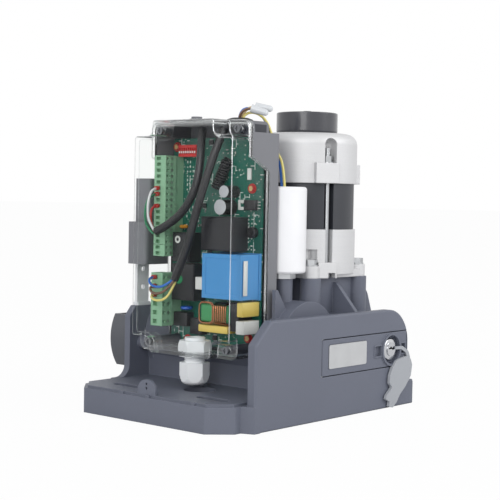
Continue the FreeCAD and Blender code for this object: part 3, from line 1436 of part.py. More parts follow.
def hinge_pin():
    return rod("Z", hinge_pin_r, (hinge_x, hinge_y), door_bottom_z - 5, door_top_z + 11)


def lock_barrel():
    """Chrome cam lock with its domed head and back nut."""
    points = [(0, lock_head_y, 0), (lock_head_r - 1.5, lock_head_y + 1.2, 0.5),
              (lock_head_r, lock_head_y + 2.6, 0.8), (lock_head_r, lock_floor_y, 0),
              (lock_barrel_r, lock_floor_y, 0), (lock_barrel_r, -80.2, 0), (0, -80.2, 0)]
    solid = Part.Face(outline("Z", points, 0)).revolve(V(0, 0, 0), V(0, 1, 0), 360)
    solid.translate(V(lock_x, 0, lock_z))
    nut = hexagon("Y", 23, (lock_x, lock_z), door_back_y + 3.0, door_back_y + 5.2)
    solid = solid.fuse(nut)
    return solid.cut(rod("Y", lock_plug_r + running_gap, (lock_x, lock_z), panel_face_y - 10, -70))


def lock_plug():
    """Key plug with its cam at the back."""
    face_y = lock_head_y - 0.2
    plug = rod("Y", lock_plug_r, (lock_x, lock_z), face_y, -80.0)
    stem = rod("Y", 3.5, (lock_x, lock_z), -80.1, -77.2)
    cam = prism("Y", [(lock_x - 5, lock_z + 5, 3), (lock_x - 5, lock_z - 15, 3), (lock_x + 5, lock_z - 15, 3),
                      (lock_x + 5, lock_z + 5, 3)], -79.4, -77.4)
    solid = join(plug, stem, cam)
    keyway = join(box(lock_x - 4.0, lock_x + 4.0, face_y - 1, face_y + 9, lock_z + 0.4, lock_z + 1.6),
                  box(lock_x - 2.0, lock_x + 0.5, face_y - 1, face_y + 9, lock_z + 1.2, lock_z + 2.6),
                  box(lock_x + 1.4, lock_x + 3.2, face_y - 1, face_y + 9, lock_z - 0.6, lock_z + 0.8))
    return solid.cut(keyway)


def lock_cap():
    """Soft cap of the lock: a collar on its rim, a strap and the hanging lid."""
    centre = (lock_x, lock_z)
    seat_y = strap_y + strap_thick
    collar = ring("Y", lock_rim_r, collar_r, centre, seat_y - collar_thick, seat_y)
    lip = ring("Y", lock_pocket_r - 0.3, collar_r, centre, seat_y, seat_y + collar_lip)
    strap = prism("Y", strap_points, strap_y, strap_y + strap_thick)
    lid = prism("Y", lid_points, strap_y - lid_thick + strap_thick, strap_y + strap_thick)
    return join(collar, lip, strap, lid)


def release_rod():
    """Spring-loaded rod in the output shaft that follows the door."""
    centre = (wheel_x, wheel_z)
    tip_y = door_back_y + 0.3
    shank = rod("Y", release_rod_dia / 2, centre, -74, motor_y)
    tip = rod("Y", release_rod_tip_dia / 2, centre, tip_y, -73)
    return join(shank, tip)


# Magnetic limit sensor at the gate side of the box

def limit_sensor():
    """Sealed sensor box with its wide lower part, read through the box's side."""
    lower = prism("Z", rectangle(sensor_x0, sensor_x1, sensor_y0, sensor_y1, 4), sensor_z0, sensor_step_z)
    upper = prism("Z", rectangle(sensor_x0 + 6, sensor_x1 - 2, sensor_y0 + 2, sensor_y1 - 3, 3),
                  sensor_step_z - 1, sensor_z1)
    return join(lower, upper)


def limit_sensor_bracket():
    """Steel angle that carries the sensor on top of the gate wall."""
    y = gate_face_y - gate_wall_thick
    foot = prism("Z", rectangle(sensor_x0 + 14, sensor_x1, y, y + gate_wall_thick, 1),
                 gate_wall_top_z, gate_wall_top_z + sensor_plate)
    back = prism("Y", rectangle(sensor_x0 + 14, sensor_x1 - 2, gate_wall_top_z, sensor_z1 - 8, 2),
                 sensor_y1, sensor_y1 + sensor_plate)
    for z in (gate_wall_top_z + 14, sensor_z0 - 8):
        back = back.cut(prism("Y", rectangle(sensor_x0 + 19, sensor_x1 - 7, z, z + 5, 2),
                              sensor_y1 - 1, sensor_y1 + sensor_plate + 1))
    return join(foot, back)


def save(name, *solids):
    shape = solids[0] if len(solids) == 1 else Part.makeCompound(list(solids))
    shape.exportStep(os.path.join("parts", name + ".step"))
    bad = [s for s in shape.Solids if not s.isValid()]
    box_size = shape.BoundBox
    print("%-24s solids %d volume %.0f%s" % (name, len(shape.Solids), shape.Volume, "  INVALID" if bad else ""),
          [round(v, 1) for v in (box_size.XMin, box_size.XMax, box_size.YMin, box_size.YMax,
                                 box_size.ZMin, box_size.ZMax)])


def main():
    os.makedirs("parts", exist_ok=True)
    save("base_housing", base_housing())
    save("gearbox_cover", gearbox_cover())
    save("gearbox_screws", *cover_screws(), *guard_screws())
    save("output_oil_seal", oil_seal())
    save("output_bearings", *output_bearings())
    save("output_shaft", output_shaft())
    save("worm_wheel", throated_wheel())
    save("drive_pinion", pinion())
    save("pinion_bolt", pinion_bolt())
    save("pinion_guard", pinion_guard())
    save("worm_shaft", worm_and_shaft())
    save("rotor_core", rotor_core())
    save("motor_bearings", *motor_bearings())
    save("lower_shield", lower_shield())
    save("stator_core", stator_core())
    save("stator_windings", stator_windings())
    save("upper_shield", upper_shield())
    save("tie_rods", *tie_rods())
    save("tie_rod_nuts", *tie_rod_nuts())
    save("flange_bolts", *flange_bolts())
    save("motor_cap", motor_cap())
    save("capacitor", capacitor())
    save("capacitor_nut", capacitor_nut())
    save("clear_cover", clear_cover())
    save("control_box_back", control_box_back())
    save("cover_gasket", cover_gasket())
    save("cover_screws", *box_screws())
    save("bracket_screws", *bracket_screws())
    save("cable_gland_body", gland_body())
    save("cable_gland_locknut", gland_locknut())
    save("cable_gland_nut", gland_nut())
    save("cable_gland_seal", gland_seal())
    save("top_grommet", top_grommet())
    save("top_boss_screw", top_boss_screw())
    save("circuit_board", circuit_board())
    save("board_screws", *board_screws())
    save("upper_terminals", terminal_strip(upper_front_x, upper_top_z, upper_pitch, upper_count, 2.8, (12, 15)))
    save("lower_terminals", terminal_strip(lower_front_x, lower_top_z, lower_pitch, lower_count, 3.6, (3,)))
    save("dip_switch", dip_switch(), *dip_sliders())
    save("board_transformer", board_transformer())
    save("relays", *relays())
    save("noise_choke", noise_choke())
    save("electrolytic_capacitors", *electrolytics())
    save("small_board_parts", *film_capacitors(), ceramic_block(), power_transistor(), air_coil())
    save("control_cable", tube_along(cable_a, 6.0, "control_cable"))
    save("supply_cable", tube_along(cable_b, 6.4, "supply_cable"))
    save("cable_wires", *[tube_along(route, wire_dia, name) for name, route in list(wires_a.items())
                          + list(wires_b.items())])
    save("top_wires", *[tube_along(route, wire_dia, name) for name, route in top_routes.items()])
    save("wire_connectors", *wire_connectors())
    save("wire_ferrules", *ferrules())
    save("release_door", release_door())
    save("door_hinge_pin", hinge_pin())
    save("label_plate", label_plate())
    save("lock_barrel", lock_barrel())
    save("lock_plug", lock_plug())
    save("lock_cap", lock_cap())
    save("release_rod", release_rod())
    save("limit_sensor", limit_sensor())
    save("limit_sensor_bracket", limit_sensor_bracket())


main()
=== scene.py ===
"""Sliding gate motor: finishes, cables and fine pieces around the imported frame."""
import math
import random

import bmesh
import bpy
from bpy.props import FloatProperty, FloatVectorProperty, IntProperty, PointerProperty
from mathutils import Matrix, Vector


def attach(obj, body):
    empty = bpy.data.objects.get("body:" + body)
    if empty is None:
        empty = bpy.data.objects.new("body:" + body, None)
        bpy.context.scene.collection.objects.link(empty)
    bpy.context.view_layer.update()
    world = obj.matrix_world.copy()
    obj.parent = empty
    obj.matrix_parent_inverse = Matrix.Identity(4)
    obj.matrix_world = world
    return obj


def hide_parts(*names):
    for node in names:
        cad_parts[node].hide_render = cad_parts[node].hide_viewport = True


bl_info = {
    "name": "Sliding gate motor",
    "version": (1, 0, 0),
    "blender": (4, 5, 0),
    "location": "View3D > Sidebar > Gate motor",
    "description": "Dresses the packed frame of a sliding gate motor",
    "category": "Object",
}

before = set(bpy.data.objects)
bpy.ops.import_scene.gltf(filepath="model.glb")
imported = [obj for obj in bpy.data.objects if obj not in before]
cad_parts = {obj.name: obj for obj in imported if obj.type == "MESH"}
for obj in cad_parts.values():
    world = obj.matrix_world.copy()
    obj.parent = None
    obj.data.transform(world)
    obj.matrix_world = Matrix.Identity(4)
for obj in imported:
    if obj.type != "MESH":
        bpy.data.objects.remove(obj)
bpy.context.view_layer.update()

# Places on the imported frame, in millimetres
MM = 0.001
BOARD_X = -44.6  # front of the circuit board
BOARD_SCREWS = ((46.6, 226.8), (-40.0, 191.3), (-38.8, 66.6), (30.5, 60.0))  # y, z
BOARD_SCREW_RADIUS = 2.1
# Painted shade: the grey back is painted darker within this room, the box's inside
SHADED_BOX_ROOM = ((-90, -52.9, 54.4), (-33.2, 52.9, 244.4))  # low and high corner of the box's inside
LOCK_AXIS = (87.5, 51.8)  # x, z
COLLAR_RADIUS = 15
COLLAR_FRONT_Y = -93.1

EDGE_RADIUS = 0.0011  # of castings, in metres
SHARP_ANGLE = 38  # degrees from which an edge isn't shaded smooth
QUARTER = math.pi / 2


def srgb(red, green, blue):
    """A colour given in 0 to 255 steps, as the linear colour that a shader takes."""
    linear = []
    for step in (red, green, blue):
        part = step / 255
        linear.append(part / 12.92 if part <= 0.04045 else ((part + 0.055) / 1.055) ** 2.4)
    return (*linear, 1.0)


def scaled(colour, factor):
    """The colour, lighter or darker by the factor."""
    return tuple(min(part * factor, 1) for part in colour[:3]) + (1.0,)


def colour_property(name, description, default):
    return FloatVectorProperty(name=name, description=description, subtype="COLOR", size=4, min=0, max=1,
                               default=default)


# Sizes and colours

class HousingLook(bpy.types.PropertyGroup):
    paint: colour_property("Housing paint", "Textured powder coat of the cast housing", srgb(100, 104, 117))
    guard: colour_property("Pinion guard", "Dark moulded guard of the pinion", srgb(84, 86, 92))
    box_grey: colour_property("Box back", "Grey moulded back of the control box", srgb(118, 119, 124))
    # Painted shade: a darker colour for the inside of the box's back, where shade falls
    box_painted_shade: colour_property("Box inside", "Shaded inside of the control box's back", srgb(52, 54, 62))
    grain: FloatProperty(name="Paint grain", description="Size of the powder coat's grain", default=0.0011,
                         min=0.0002, subtype="DISTANCE", unit="LENGTH")


class MotorLook(bpy.types.PropertyGroup):
    casting: colour_property("Castings", "Bare die-cast motor shields", srgb(209, 209, 210))
    laminations: colour_property("Laminations", "Dark enamel of the stator", srgb(48, 50, 56))
    cap: colour_property("Motor cap", "Moulded cap on top of the motor", srgb(58, 59, 65))
    run_capacitor: colour_property("Run capacitor", "White plastic can", srgb(238, 238, 240))


class ControlLook(bpy.types.PropertyGroup):
    cover: colour_property("Clear cover", "Tint of the clear shell", (0.988, 0.992, 0.99, 1))
    board: colour_property("Board", "Solder mask of the circuit board", srgb(12, 92, 76))
    terminals: colour_property("Terminals", "Green plug-in terminals", srgb(136, 182, 147))
    transformer: colour_property("Transformer", "Blue encapsulated transformer", srgb(70, 145, 205))
    small_parts: IntProperty(name="Chip parts", description="How many small parts are laid on the board",
                             default=150, min=0, max=400)


class CableLook(bpy.types.PropertyGroup):
    cable_radius: FloatProperty(name="Cable radius", description="Radius of the two black cables",
                                default=0.0035, min=0.001, subtype="DISTANCE", unit="LENGTH")
    wire_radius: FloatProperty(name="Wire radius", description="Radius of the coloured wires", default=0.0011,
                               min=0.0004, subtype="DISTANCE", unit="LENGTH")


class StageLook(bpy.types.PropertyGroup):
    floor: colour_property("Floor", "Pale studio floor", (0.86, 0.86, 0.86, 1))
    lens: FloatProperty(name="Lens", description="Focal length on a 36 mm wide sensor", default=89.5, min=20)
    key: FloatProperty(name="Key light", description="Power of the large lamp on the right", default=18.5,
                       min=0, subtype="POWER", unit="POWER")
    fill: FloatProperty(name="Fill light", description="Power of the lamp on the left", default=21.0, min=0,
                        subtype="POWER", unit="POWER")
    sky: FloatProperty(name="Surround", description="Strength of the even light from all round", default=0.62,
                       min=0)


LOOKS = {"gate_housing": HousingLook, "gate_motor": MotorLook, "gate_control": ControlLook,
         "gate_cables": CableLook, "gate_stage": StageLook}


# Shader maths

class Signal:
    """A shader socket in plain arithmetic: each operator adds its Math node."""

    def __init__(self, paint, socket):
        self.paint = paint
        self.socket = socket

    def math(self, operation, *values):
        return self.paint.add("ShaderNodeMath", {"operation": operation}, dict(enumerate(values)))

    def __add__(self, other):
        return self.math("ADD", self, other)

    def __radd__(self, other):
        return self.math("ADD", other, self)

    def __sub__(self, other):
        return self.math("SUBTRACT", self, other)

    def __rsub__(self, other):
        return self.math("SUBTRACT", other, self)

    def __mul__(self, other):
        return self.math("MULTIPLY", self, other)

    def __gt__(self, other):
        return self.math("GREATER_THAN", self, other)

    def __lt__(self, other):
        return self.math("LESS_THAN", self, other)

    def at_most(self, other):
        return self.math("MINIMUM", self, other)

    def at_least(self, other):
        return self.math("MAXIMUM", self, other)


class Nodes:
    """A node tree with one method that makes any node."""

    def __init__(self, tree, output):
        tree.nodes.clear()
        self.tree = tree
        self.output = tree.nodes.new(output)

    def add(self, kind, settings=None, inputs=None, output=0):
        node = self.tree.nodes.new(kind)
        for key, value in (settings or {}).items():
            setattr(node, key, value)
        for key, value in (inputs or {}).items():
            self.feed(node.inputs[key], value)
        return Signal(self, node.outputs[output])

    def feed(self, socket, value):
        if isinstance(value, Signal):
            self.tree.links.new(value.socket, socket)
        else:
            socket.default_value = value

    def surface(self, shader):
        self.feed(self.output.inputs["Surface"], shader)


class Paint(Nodes):
    """One procedural finish, built on a Principled shader."""

    def __init__(self, name, slot):
        self.slot = slot
        self.material = bpy.data.materials.new(name)
        self.material.use_nodes = True
        super().__init__(self.material.node_tree, "ShaderNodeOutputMaterial")
        self.gloss = self.add("ShaderNodeBsdfPrincipled")
        self.shader = self.gloss.socket.node
        self.surface(self.gloss)
        self.place = self.add("ShaderNodeTexCoord", output="Object")

    def set(self, **values):
        """Sets sockets of the Principled shader; underscores stand for spaces."""
        for key, value in values.items():
            self.feed(self.shader.inputs[key.replace("_", " ")], value)

    def axes(self):
        """The object's x, y and z, in metres."""
        split = self.add("ShaderNodeSeparateXYZ", inputs={0: self.place})
        return [Signal(self, socket) for socket in split.socket.node.outputs]

    def stretched(self, x, y, z):
        return self.add("ShaderNodeMapping", inputs={"Vector": self.place, "Scale": (x, y, z)})

    def noise(self, scale, detail=3, rough=0.5, place=None):
        return self.add("ShaderNodeTexNoise", None, {"Vector": place or self.place, "Scale": scale,
                                                     "Detail": detail, "Roughness": rough})

    def cells(self, scale, place):
        return self.add("ShaderNodeTexVoronoi", None, {"Vector": place, "Scale": scale}, "Distance")

    def bricks(self, scale, mortar, width, height, **settings):
        """A mask of the lines between bricks on the side that faces x."""
        upright = self.add("ShaderNodeMapping", inputs={"Vector": self.place, "Rotation": (0, QUARTER, 0)})
        return self.add("ShaderNodeTexBrick", settings,
                        {"Vector": upright, "Scale": scale, "Mortar Size": mortar, "Brick Width": width,
                         "Row Height": height, "Color1": (0, 0, 0, 1), "Color2": (0, 0, 0, 1),
                         "Mortar": (1, 1, 1, 1)})

    def rise(self, value, start, end):
        """A mask that goes from 0 at the start to 1 at the end."""
        return self.add("ShaderNodeMapRange", inputs={0: value, 1: start, 2: end})

    def mix(self, mask, first, second):
        return self.add("ShaderNodeMix", {"data_type": "RGBA"}, {0: mask, 6: first, 7: second}, 2)

    def shade(self, colour, amount, factor):
        """The colour, darker and lighter by the amount as the factor goes from 0 to 1."""
        return self.mix(factor, scaled(colour, 1 - amount), scaled(colour, 1 + amount))

    def rounded(self, radius):
        """The surface direction as if every edge had the radius."""
        return self.add("ShaderNodeBevel", {"samples": 6}, {"Radius": radius})

    def edges(self, rounded):
        """A mask that rises from 0 on the flats to 1 on the middle of an edge."""
        true = self.add("ShaderNodeNewGeometry", output="True Normal")
        same = self.add("ShaderNodeVectorMath", {"operation": "DOT_PRODUCT"}, {0: rounded, 1: true}, "Value")
        return ((1 - same) * 3.4).at_most(1.0)

    def bump(self, height, distance, strength=1.0, normal=None):
        inputs = {"Height": height, "Distance": distance, "Strength": strength}
        if normal is not None:
            inputs["Normal"] = normal
        self.set(Normal=self.add("ShaderNodeBump", None, inputs))
        return self


def in_circle(first, second, middle, radius):
    """A mask of what lies within a radius of a place on two of the axes, in millimetres."""
    across = first - middle[0] * MM
    up = second - middle[1] * MM
    return across * across + up * up < (radius * MM) ** 2


def powder_coat(name, slot, colour, grain, roughness=0.5):
    """Textured coat on a casting: fine grain, soft edges that catch the light."""
    paint = Paint(name, slot)
    fine = paint.noise(1 / grain, 2, 0.6)
    broad = paint.noise(18, 3)
    soft = paint.rounded(EDGE_RADIUS)
    flats = paint.shade(colour, 0.1, broad * 0.5 + fine * 0.5)
    paint.set(Base_Color=paint.mix(paint.edges(soft) * 0.55, flats, scaled(colour, 1.5)),
              Roughness=roughness + fine * 0.12 - 0.06, Specular_IOR_Level=0.45)
    return paint.bump(fine + paint.noise(60, 2) * 0.6, 0.00018, 0.6, soft)


def moulded(name, slot, colour, roughness=0.42, variation=0.05, coat=0.0, radius=0.0006):
    """Plastic with a fine grain and softened edges, glossier where it has a coat."""
    paint = Paint(name, slot)
    grain = paint.noise(1500, 2, 0.6)
    paint.set(Base_Color=paint.shade(colour, variation, paint.noise(35, 3)),
              Roughness=roughness + grain * 0.1 - 0.05, Coat_Weight=coat, Coat_Roughness=0.12)
    return paint.bump(grain, 0.00005, 0.4, paint.rounded(radius))


def metal(name, slot, colour, roughness=0.3, scratch=(1, 1, 1), variation=0.08):
    """Bare metal with fine scratches, drawn out along the axes whose scale is low."""
    paint = Paint(name, slot)
    lines = paint.noise(900, 3, 0.6, paint.stretched(*scratch))
    paint.set(Base_Color=paint.shade(colour, variation, paint.noise(80, 3)), Metallic=1.0,
              Roughness=roughness + lines * 0.2 - 0.1)
    return paint.bump(lines, 0.00003, 0.35)


def cast_metal(name, slot, colour):
    """Bare die casting: a pale grey skin with fine grain, flow marks and level turning lines."""
    paint = Paint(name, slot)
    grain = paint.noise(1000, 3, 0.7)
    flow = paint.noise(40, 4, 0.6, paint.stretched(1, 1, 0.35))
    turning = paint.noise(700, 2, 0.6, paint.stretched(0.02, 0.02, 1))
    paint.set(Base_Color=paint.shade(colour, 0.14, flow * 0.3 + grain * 0.5 + turning * 0.2), Metallic=0.4,
              Roughness=0.52 + flow * 0.16 + grain * 0.06 - 0.1)
    return paint.bump(grain + flow * 0.7 + turning * 0.4, 0.00016, 0.6, paint.rounded(EDGE_RADIUS))


def laminations(name, slot, colour):
    """Stacked steel sheets under enamel: fine level lines up the stator."""
    paint = Paint(name, slot)
    count = paint.axes()[2] * 1250
    sheets = count.math("PINGPONG", count, 0.5)
    grain = paint.noise(900, 2)
    paint.set(Base_Color=paint.shade(colour, 0.14, paint.noise(50, 3)), Roughness=0.42 + grain * 0.16 - 0.08)
    return paint.bump(sheets + grain * 0.3, 0.00012, 0.6)


def rubber(name, slot, colour, roughness=0.62):
    """Soft dark rubber with a fine grain."""
    paint = Paint(name, slot)
    grain = paint.noise(1100, 3, 0.6)
    paint.set(Base_Color=paint.shade(colour, 0.1, paint.noise(60, 3)),
              Roughness=roughness + grain * 0.14 - 0.07)
    return paint.bump(grain, 0.00007, 0.5)


def clear_shell(name, slot, tint):
    """Clear moulded shell: bright where it turns away, along its edges and at its foot and top."""
    paint = Paint(name, slot)
    soft = paint.rounded(0.0012)
    haze = paint.noise(30, 3)
    paint.set(Base_Color=srgb(244, 246, 247), Metallic=1.0, Roughness=0.07 + haze * 0.06, Normal=soft)
    clear = paint.add("ShaderNodeBsdfTransparent", inputs={"Color": tint})
    away = paint.add("ShaderNodeLayerWeight", inputs={"Blend": 0.11, "Normal": soft}, output="Fresnel")
    height = paint.axes()[2]
    foot = paint.rise(height, 0.068, 0.053) * 0.12
    top = paint.rise(height, 0.2405, 0.2445) * 0.2
    shine = (away * 0.9 + paint.edges(soft) + haze * 0.006 + foot + top).at_most(0.9)
    paint.surface(paint.add("ShaderNodeMixShader", inputs={0: shine, 1: clear, 2: paint.gloss}))
    return paint


def circuit_board(name, slot, colour):
    """Green solder mask over copper tracks, tinned pads and white outlines."""
    paint = Paint(name, slot)
    flat = paint.stretched(0, 1, 1)
    tracks = paint.bricks(150, 0.06, 1.1, 0.42, offset=0.37, squash=0.6, squash_frequency=3)
    wide = paint.noise(45, 2, 0.5, flat) > 0.52
    pads = paint.cells(330, flat) < 0.2
    outline = paint.bricks(95, 0.03, 0.7, 0.5, offset=0.5)
    print_mask = (paint.noise(85, 1, 0.5, flat) > 0.6) * outline
    lighter = scaled(colour, 1.5)
    base = paint.mix(tracks * 0.6, paint.shade(colour, 0.12, paint.noise(60, 2)), lighter)
    base = paint.mix(wide * 0.25, base, lighter)
    base = paint.mix(pads * (paint.noise(70, 2, 0.5, flat) > 0.5), base, srgb(196, 198, 190))
    base = paint.mix(print_mask, base, srgb(226, 232, 226))
    paint.set(Base_Color=base, Roughness=0.32 + pads * 0.05, Coat_Weight=0.3, Coat_Roughness=0.15)
    return paint.bump(tracks * 0.5 + pads, 0.00008, 0.6)


def box_plastic_with_painted_shade(name, slot, outside, inside, room):
    """Grey moulding with painted shade, darker within the room, a low and a high corner in millimetres."""
    paint = moulded(name, slot, outside, 0.45)
    within = 1.0
    for along, low, high in zip(paint.axes(), *room):
        within = (along > low * MM) * (along < high * MM) * within
    # Painted shade: within the room the darker colour replaces the grey, standing in for the shade inside the
    # box
    paint.set(Base_Color=paint.mix(within, paint.shade(outside, 0.05, paint.noise(35, 3)), inside))
    return paint


def spotted(name, slot, inside, outside, places, radius):
    """One colour within a radius of each (y, z) place, in millimetres, and another round it."""
    paint = Paint(name, slot)
    _, y, z = paint.axes()
    near = 0.0
    for middle in places:
        near = in_circle(y, z, middle, radius) + near
    paint.set(Base_Color=paint.mix(near, outside, inside), Roughness=0.35 + paint.noise(900, 2) * 0.1)
    return paint


def banded(name, slot, colours, axis, edges, roughness=0.4):
    """Parts of several colours in one piece, told apart by where they stand along an axis."""
    paint = Paint(name, slot)
    along = paint.axes()["XYZ".index(axis)]
    base = colours[0]
    for edge, colour in zip(edges, colours[1:]):
        base = paint.mix(along > edge * MM, base, colour)
    grain = paint.noise(1200, 2)
    paint.set(Base_Color=base, Roughness=roughness + grain * 0.1 - 0.05)
    return paint.bump(grain, 0.00005, 0.4)


# Meshes

def block(shape, low, high, bevel=0.0, segments=2):
    """A box between two corners, in millimetres, with rounded edges where bevel is given."""
    made = bmesh.ops.create_cube(shape, size=1.0)["verts"]
    low = Vector(low)
    high = Vector(high)
    bmesh.ops.scale(shape, vec=high - low, verts=made)
    bmesh.ops.translate(shape, vec=(low + high) / 2, verts=made)
    if bevel:
        edges = list({edge for vert in made for edge in vert.link_edges})
        bmesh.ops.bevel(shape, geom=edges, offset=bevel, offset_type="OFFSET", segments=segments, profile=0.5,
                        affect="EDGES", clamp_overlap=True, material=-1)


def turned(shape, profile, origin, axis, steps=24):
    """A full turning: the profile is (radius, distance along the axis) pairs, in millimetres."""
    along = Vector(axis).normalized()
    side = along.orthogonal().normalized()
    origin = Vector(origin)
    verts = [shape.verts.new(origin + side * radius + along * step) for radius, step in profile]
    edges = [shape.edges.new(pair) for pair in zip(verts, verts[1:])]
    bmesh.ops.spin(shape, geom=verts + edges, cent=origin, axis=along, dvec=(0, 0, 0), angle=2 * math.pi,
                   steps=steps, use_merge=True, use_normal_flip=False, use_duplicate=False)


def wire_section(shape, wire, distance, capped):
    """A round section of wire on the x axis, at a distance from the z axis about which it is spun."""
    ring = bmesh.ops.create_circle(shape, cap_ends=capped, radius=wire, segments=8)["verts"]
    bmesh.ops.rotate(shape, verts=ring, matrix=Matrix.Rotation(QUARTER, 3, "X"))
    bmesh.ops.translate(shape, verts=ring, vec=(distance, 0, 0))
    return ring


def piece(name, shape, body, paint, replaces=()):
    """Closes a mesh given in millimetres, makes it an object at the origin and lets it ride."""
    bmesh.ops.remove_doubles(shape, verts=shape.verts, dist=0.0005)
    bmesh.ops.recalc_face_normals(shape, faces=shape.faces)
    bmesh.ops.scale(shape, vec=(MM, MM, MM), verts=shape.verts)
    for face in shape.faces:
        face.smooth = True
    for edge in shape.edges:
        edge.smooth = edge.is_manifold and edge.calc_face_angle(0) < math.radians(SHARP_ANGLE)
    mesh = bpy.data.meshes.new(name)
    shape.to_mesh(mesh)
    shape.free()
    made = bpy.data.objects.new(name, mesh)
    bpy.context.scene.collection.objects.link(made)
    mesh.materials.append(paint.material)
    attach(made, body)
    if replaces:
        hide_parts(*replaces)


def finish_node(node, paint):
    """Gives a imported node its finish."""
    made = bpy.data.objects[node]
    made.data.materials.clear()
    made.data.materials.append(paint.material)


def cable(name, route, radius, paint, body, replaces):
    """A cable or wire on a smooth line through the route's control points, in millimetres."""
    curve = bpy.data.curves.new(name, "CURVE")
    curve.dimensions = "3D"
    curve.bevel_depth = radius
    curve.bevel_resolution = 5
    curve.use_fill_caps = True
    curve.resolution_u = 12
    spline = curve.splines.new("NURBS")
    spline.points.add(len(route) - 1)
    for point, (x, y, z) in zip(spline.points, route):
        point.co = (x * MM, y * MM, z * MM, 1)
    spline.order_u = 3
    spline.use_endpoint_u = True
    made = bpy.data.objects.new(name, curve)
    bpy.context.scene.collection.objects.link(made)
    curve.materials.append(paint.material)
    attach(made, body)
    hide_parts(replaces)


# Routes of the cables and wires, in millimetres

CABLE_A = [(-58, 5, 240.8), (-64.5, 0.5, 229), (-69, -3, 210), (-72, -1, 190.5), (-74, 9.5, 172),
           (-75, 26, 160), (-76, 40.6, 153.5)]
CABLE_B = [(-60, -21.5, 240.8), (-65, -19, 228), (-70, -13.5, 206), (-73, -8, 184.5), (-74.5, -1, 161.5),
           (-75.5, 5.5, 137.5), (-76, 18, 113.5)]
WIRES = {
    "white": [(-76.6, 42.2, 154.4), (-79, 46.4, 161.5), (-80, 47.5, 172), (-79, 47, 182), (-75.5, 46.5, 190),
              (-68.2, 46.5, 190.66)],
    "green": [(-77.2, 42.8, 151.6), (-80, 48.3, 157.5), (-81, 49.6, 167), (-80.3, 49, 177), (-76, 47.1, 185),
              (-68.2, 46.5, 185.58)],
    "red": [(-75.2, 43.4, 153.2), (-76.4, 46.3, 160), (-77.4, 46.6, 168), (-74.5, 46.5, 175.2),
            (-68.2, 46.5, 175.42)],
    "blue": [(-76.4, 19.5, 113.43), (-79, 27.6, 107.2), (-81.5, 36, 106.6), (-81.5, 42.5, 109.7),
             (-77.5, 46.2, 114), (-70.2, 46.5, 114.19)],
    "brown": [(-77.2, 17.44, 112.42), (-79, 25.5, 103.5), (-81.5, 33.5, 100.6), (-81.2, 41, 102.3),
              (-77.2, 46, 106.4), (-70.2, 46.5, 106.57)],
    "yellow": [(-74.8, 17.68, 112.82), (-76.6, 22.6, 100.4), (-79.6, 29.5, 95.2), (-80.5, 38.5, 95.4),
               (-77, 45.4, 98.8), (-70.2, 46.5, 98.95)],
}
TOP_WIRES = {
    "brown": [(-46.6, -25, 239), (-46.6, -25, 248), (-48, -29, 255), (-47, -37, 258), (-44, -43, 256)],
    "tan": [(-43.4, -25, 239), (-43.4, -25, 248), (-42, -27, 256), (-38, -33, 260), (-34, -39, 259)],
    "blue": [(-45, -23.2, 239), (-45, -23.2, 249), (-41, -24, 258), (-33, -28, 259), (-25, -33, 253),
               (-21, -37, 241), (-19, -41, 227), (-16, -45.9, 214), (-15.5, -47.5, 191.7)],
    "yellow": [(-45, -26.8, 239), (-45, -26.8, 249), (-39, -28, 255), (-31, -32, 255), (-25, -37, 249),
              (-22.5, -41, 238), (-20.5, -44, 224), (-16, -49.3, 213), (-15.5, -50.5, 191.7)],
}
WIRE_COLOURS = {
    "white": srgb(226, 228, 228), "green": srgb(30, 120, 80), "red": srgb(178, 34, 34),
    "blue": srgb(52, 110, 196), "brown": srgb(122, 94, 76), "yellow": srgb(232, 218, 130),
    "tan": srgb(206, 178, 128),
}


# Where the board holds larger parts: low and high y, low and high z, in millimetres
TAKEN = (
    (37, 53, 72, 220), (-52, -6, 98, 139), (-37, 0, 138, 169), (-29, 8, 68, 96), (-52, -32, 70, 99),
    (10, 38, 94, 128), (16, 38, 127, 154), (16, 40, 216, 230), (-50, -25, 172, 183), (-27, -10, 168, 196),
    (-22, 0, 186, 220), (22, 47, 71, 85), (7, 23, 65, 81), (-2, 10, 104, 117), (-48, -36, 148, 161),
    (-43, -36, 196, 210), (40, 52, 220, 232), (-46, -34, 184, 198), (-45, -33, 60, 73), (24, 37, 54, 66),
    (20, 35, 84, 92), (30, 38, 155, 160),
)
FREE_BOARD = ((-49, 49), (59, 231))  # low and high y, low and high z
CHIP_GAP = 3
# Length, width and height of the chip parts; the tallest has pins
CHIP_SIZES = ((1.6, 0.8, 0.5), (2.0, 1.25, 0.6), (3.2, 1.6, 0.6), (4.9, 3.9, 1.5))


class PieceOperator:
    """What the operators share."""
    bl_options = {"REGISTER", "UNDO"}


class GATE_OT_housing(PieceOperator, bpy.types.Operator):
    """Powder coat on the housing and the door, dark plastic on the guard"""
    bl_idname = "gate.housing"
    bl_label = "Housing"

    def execute(self, context):
        look = context.scene.gate_housing
        coat = powder_coat("grey powder coat", "housing_paint", look.paint, look.grain)
        for node in ("base_housing", "release_door"):
            finish_node(node, coat)
        finish_node("pinion_guard", moulded("dark guard", "housing_paint", look.guard, 0.4, radius=0.001))
        return {"FINISHED"}


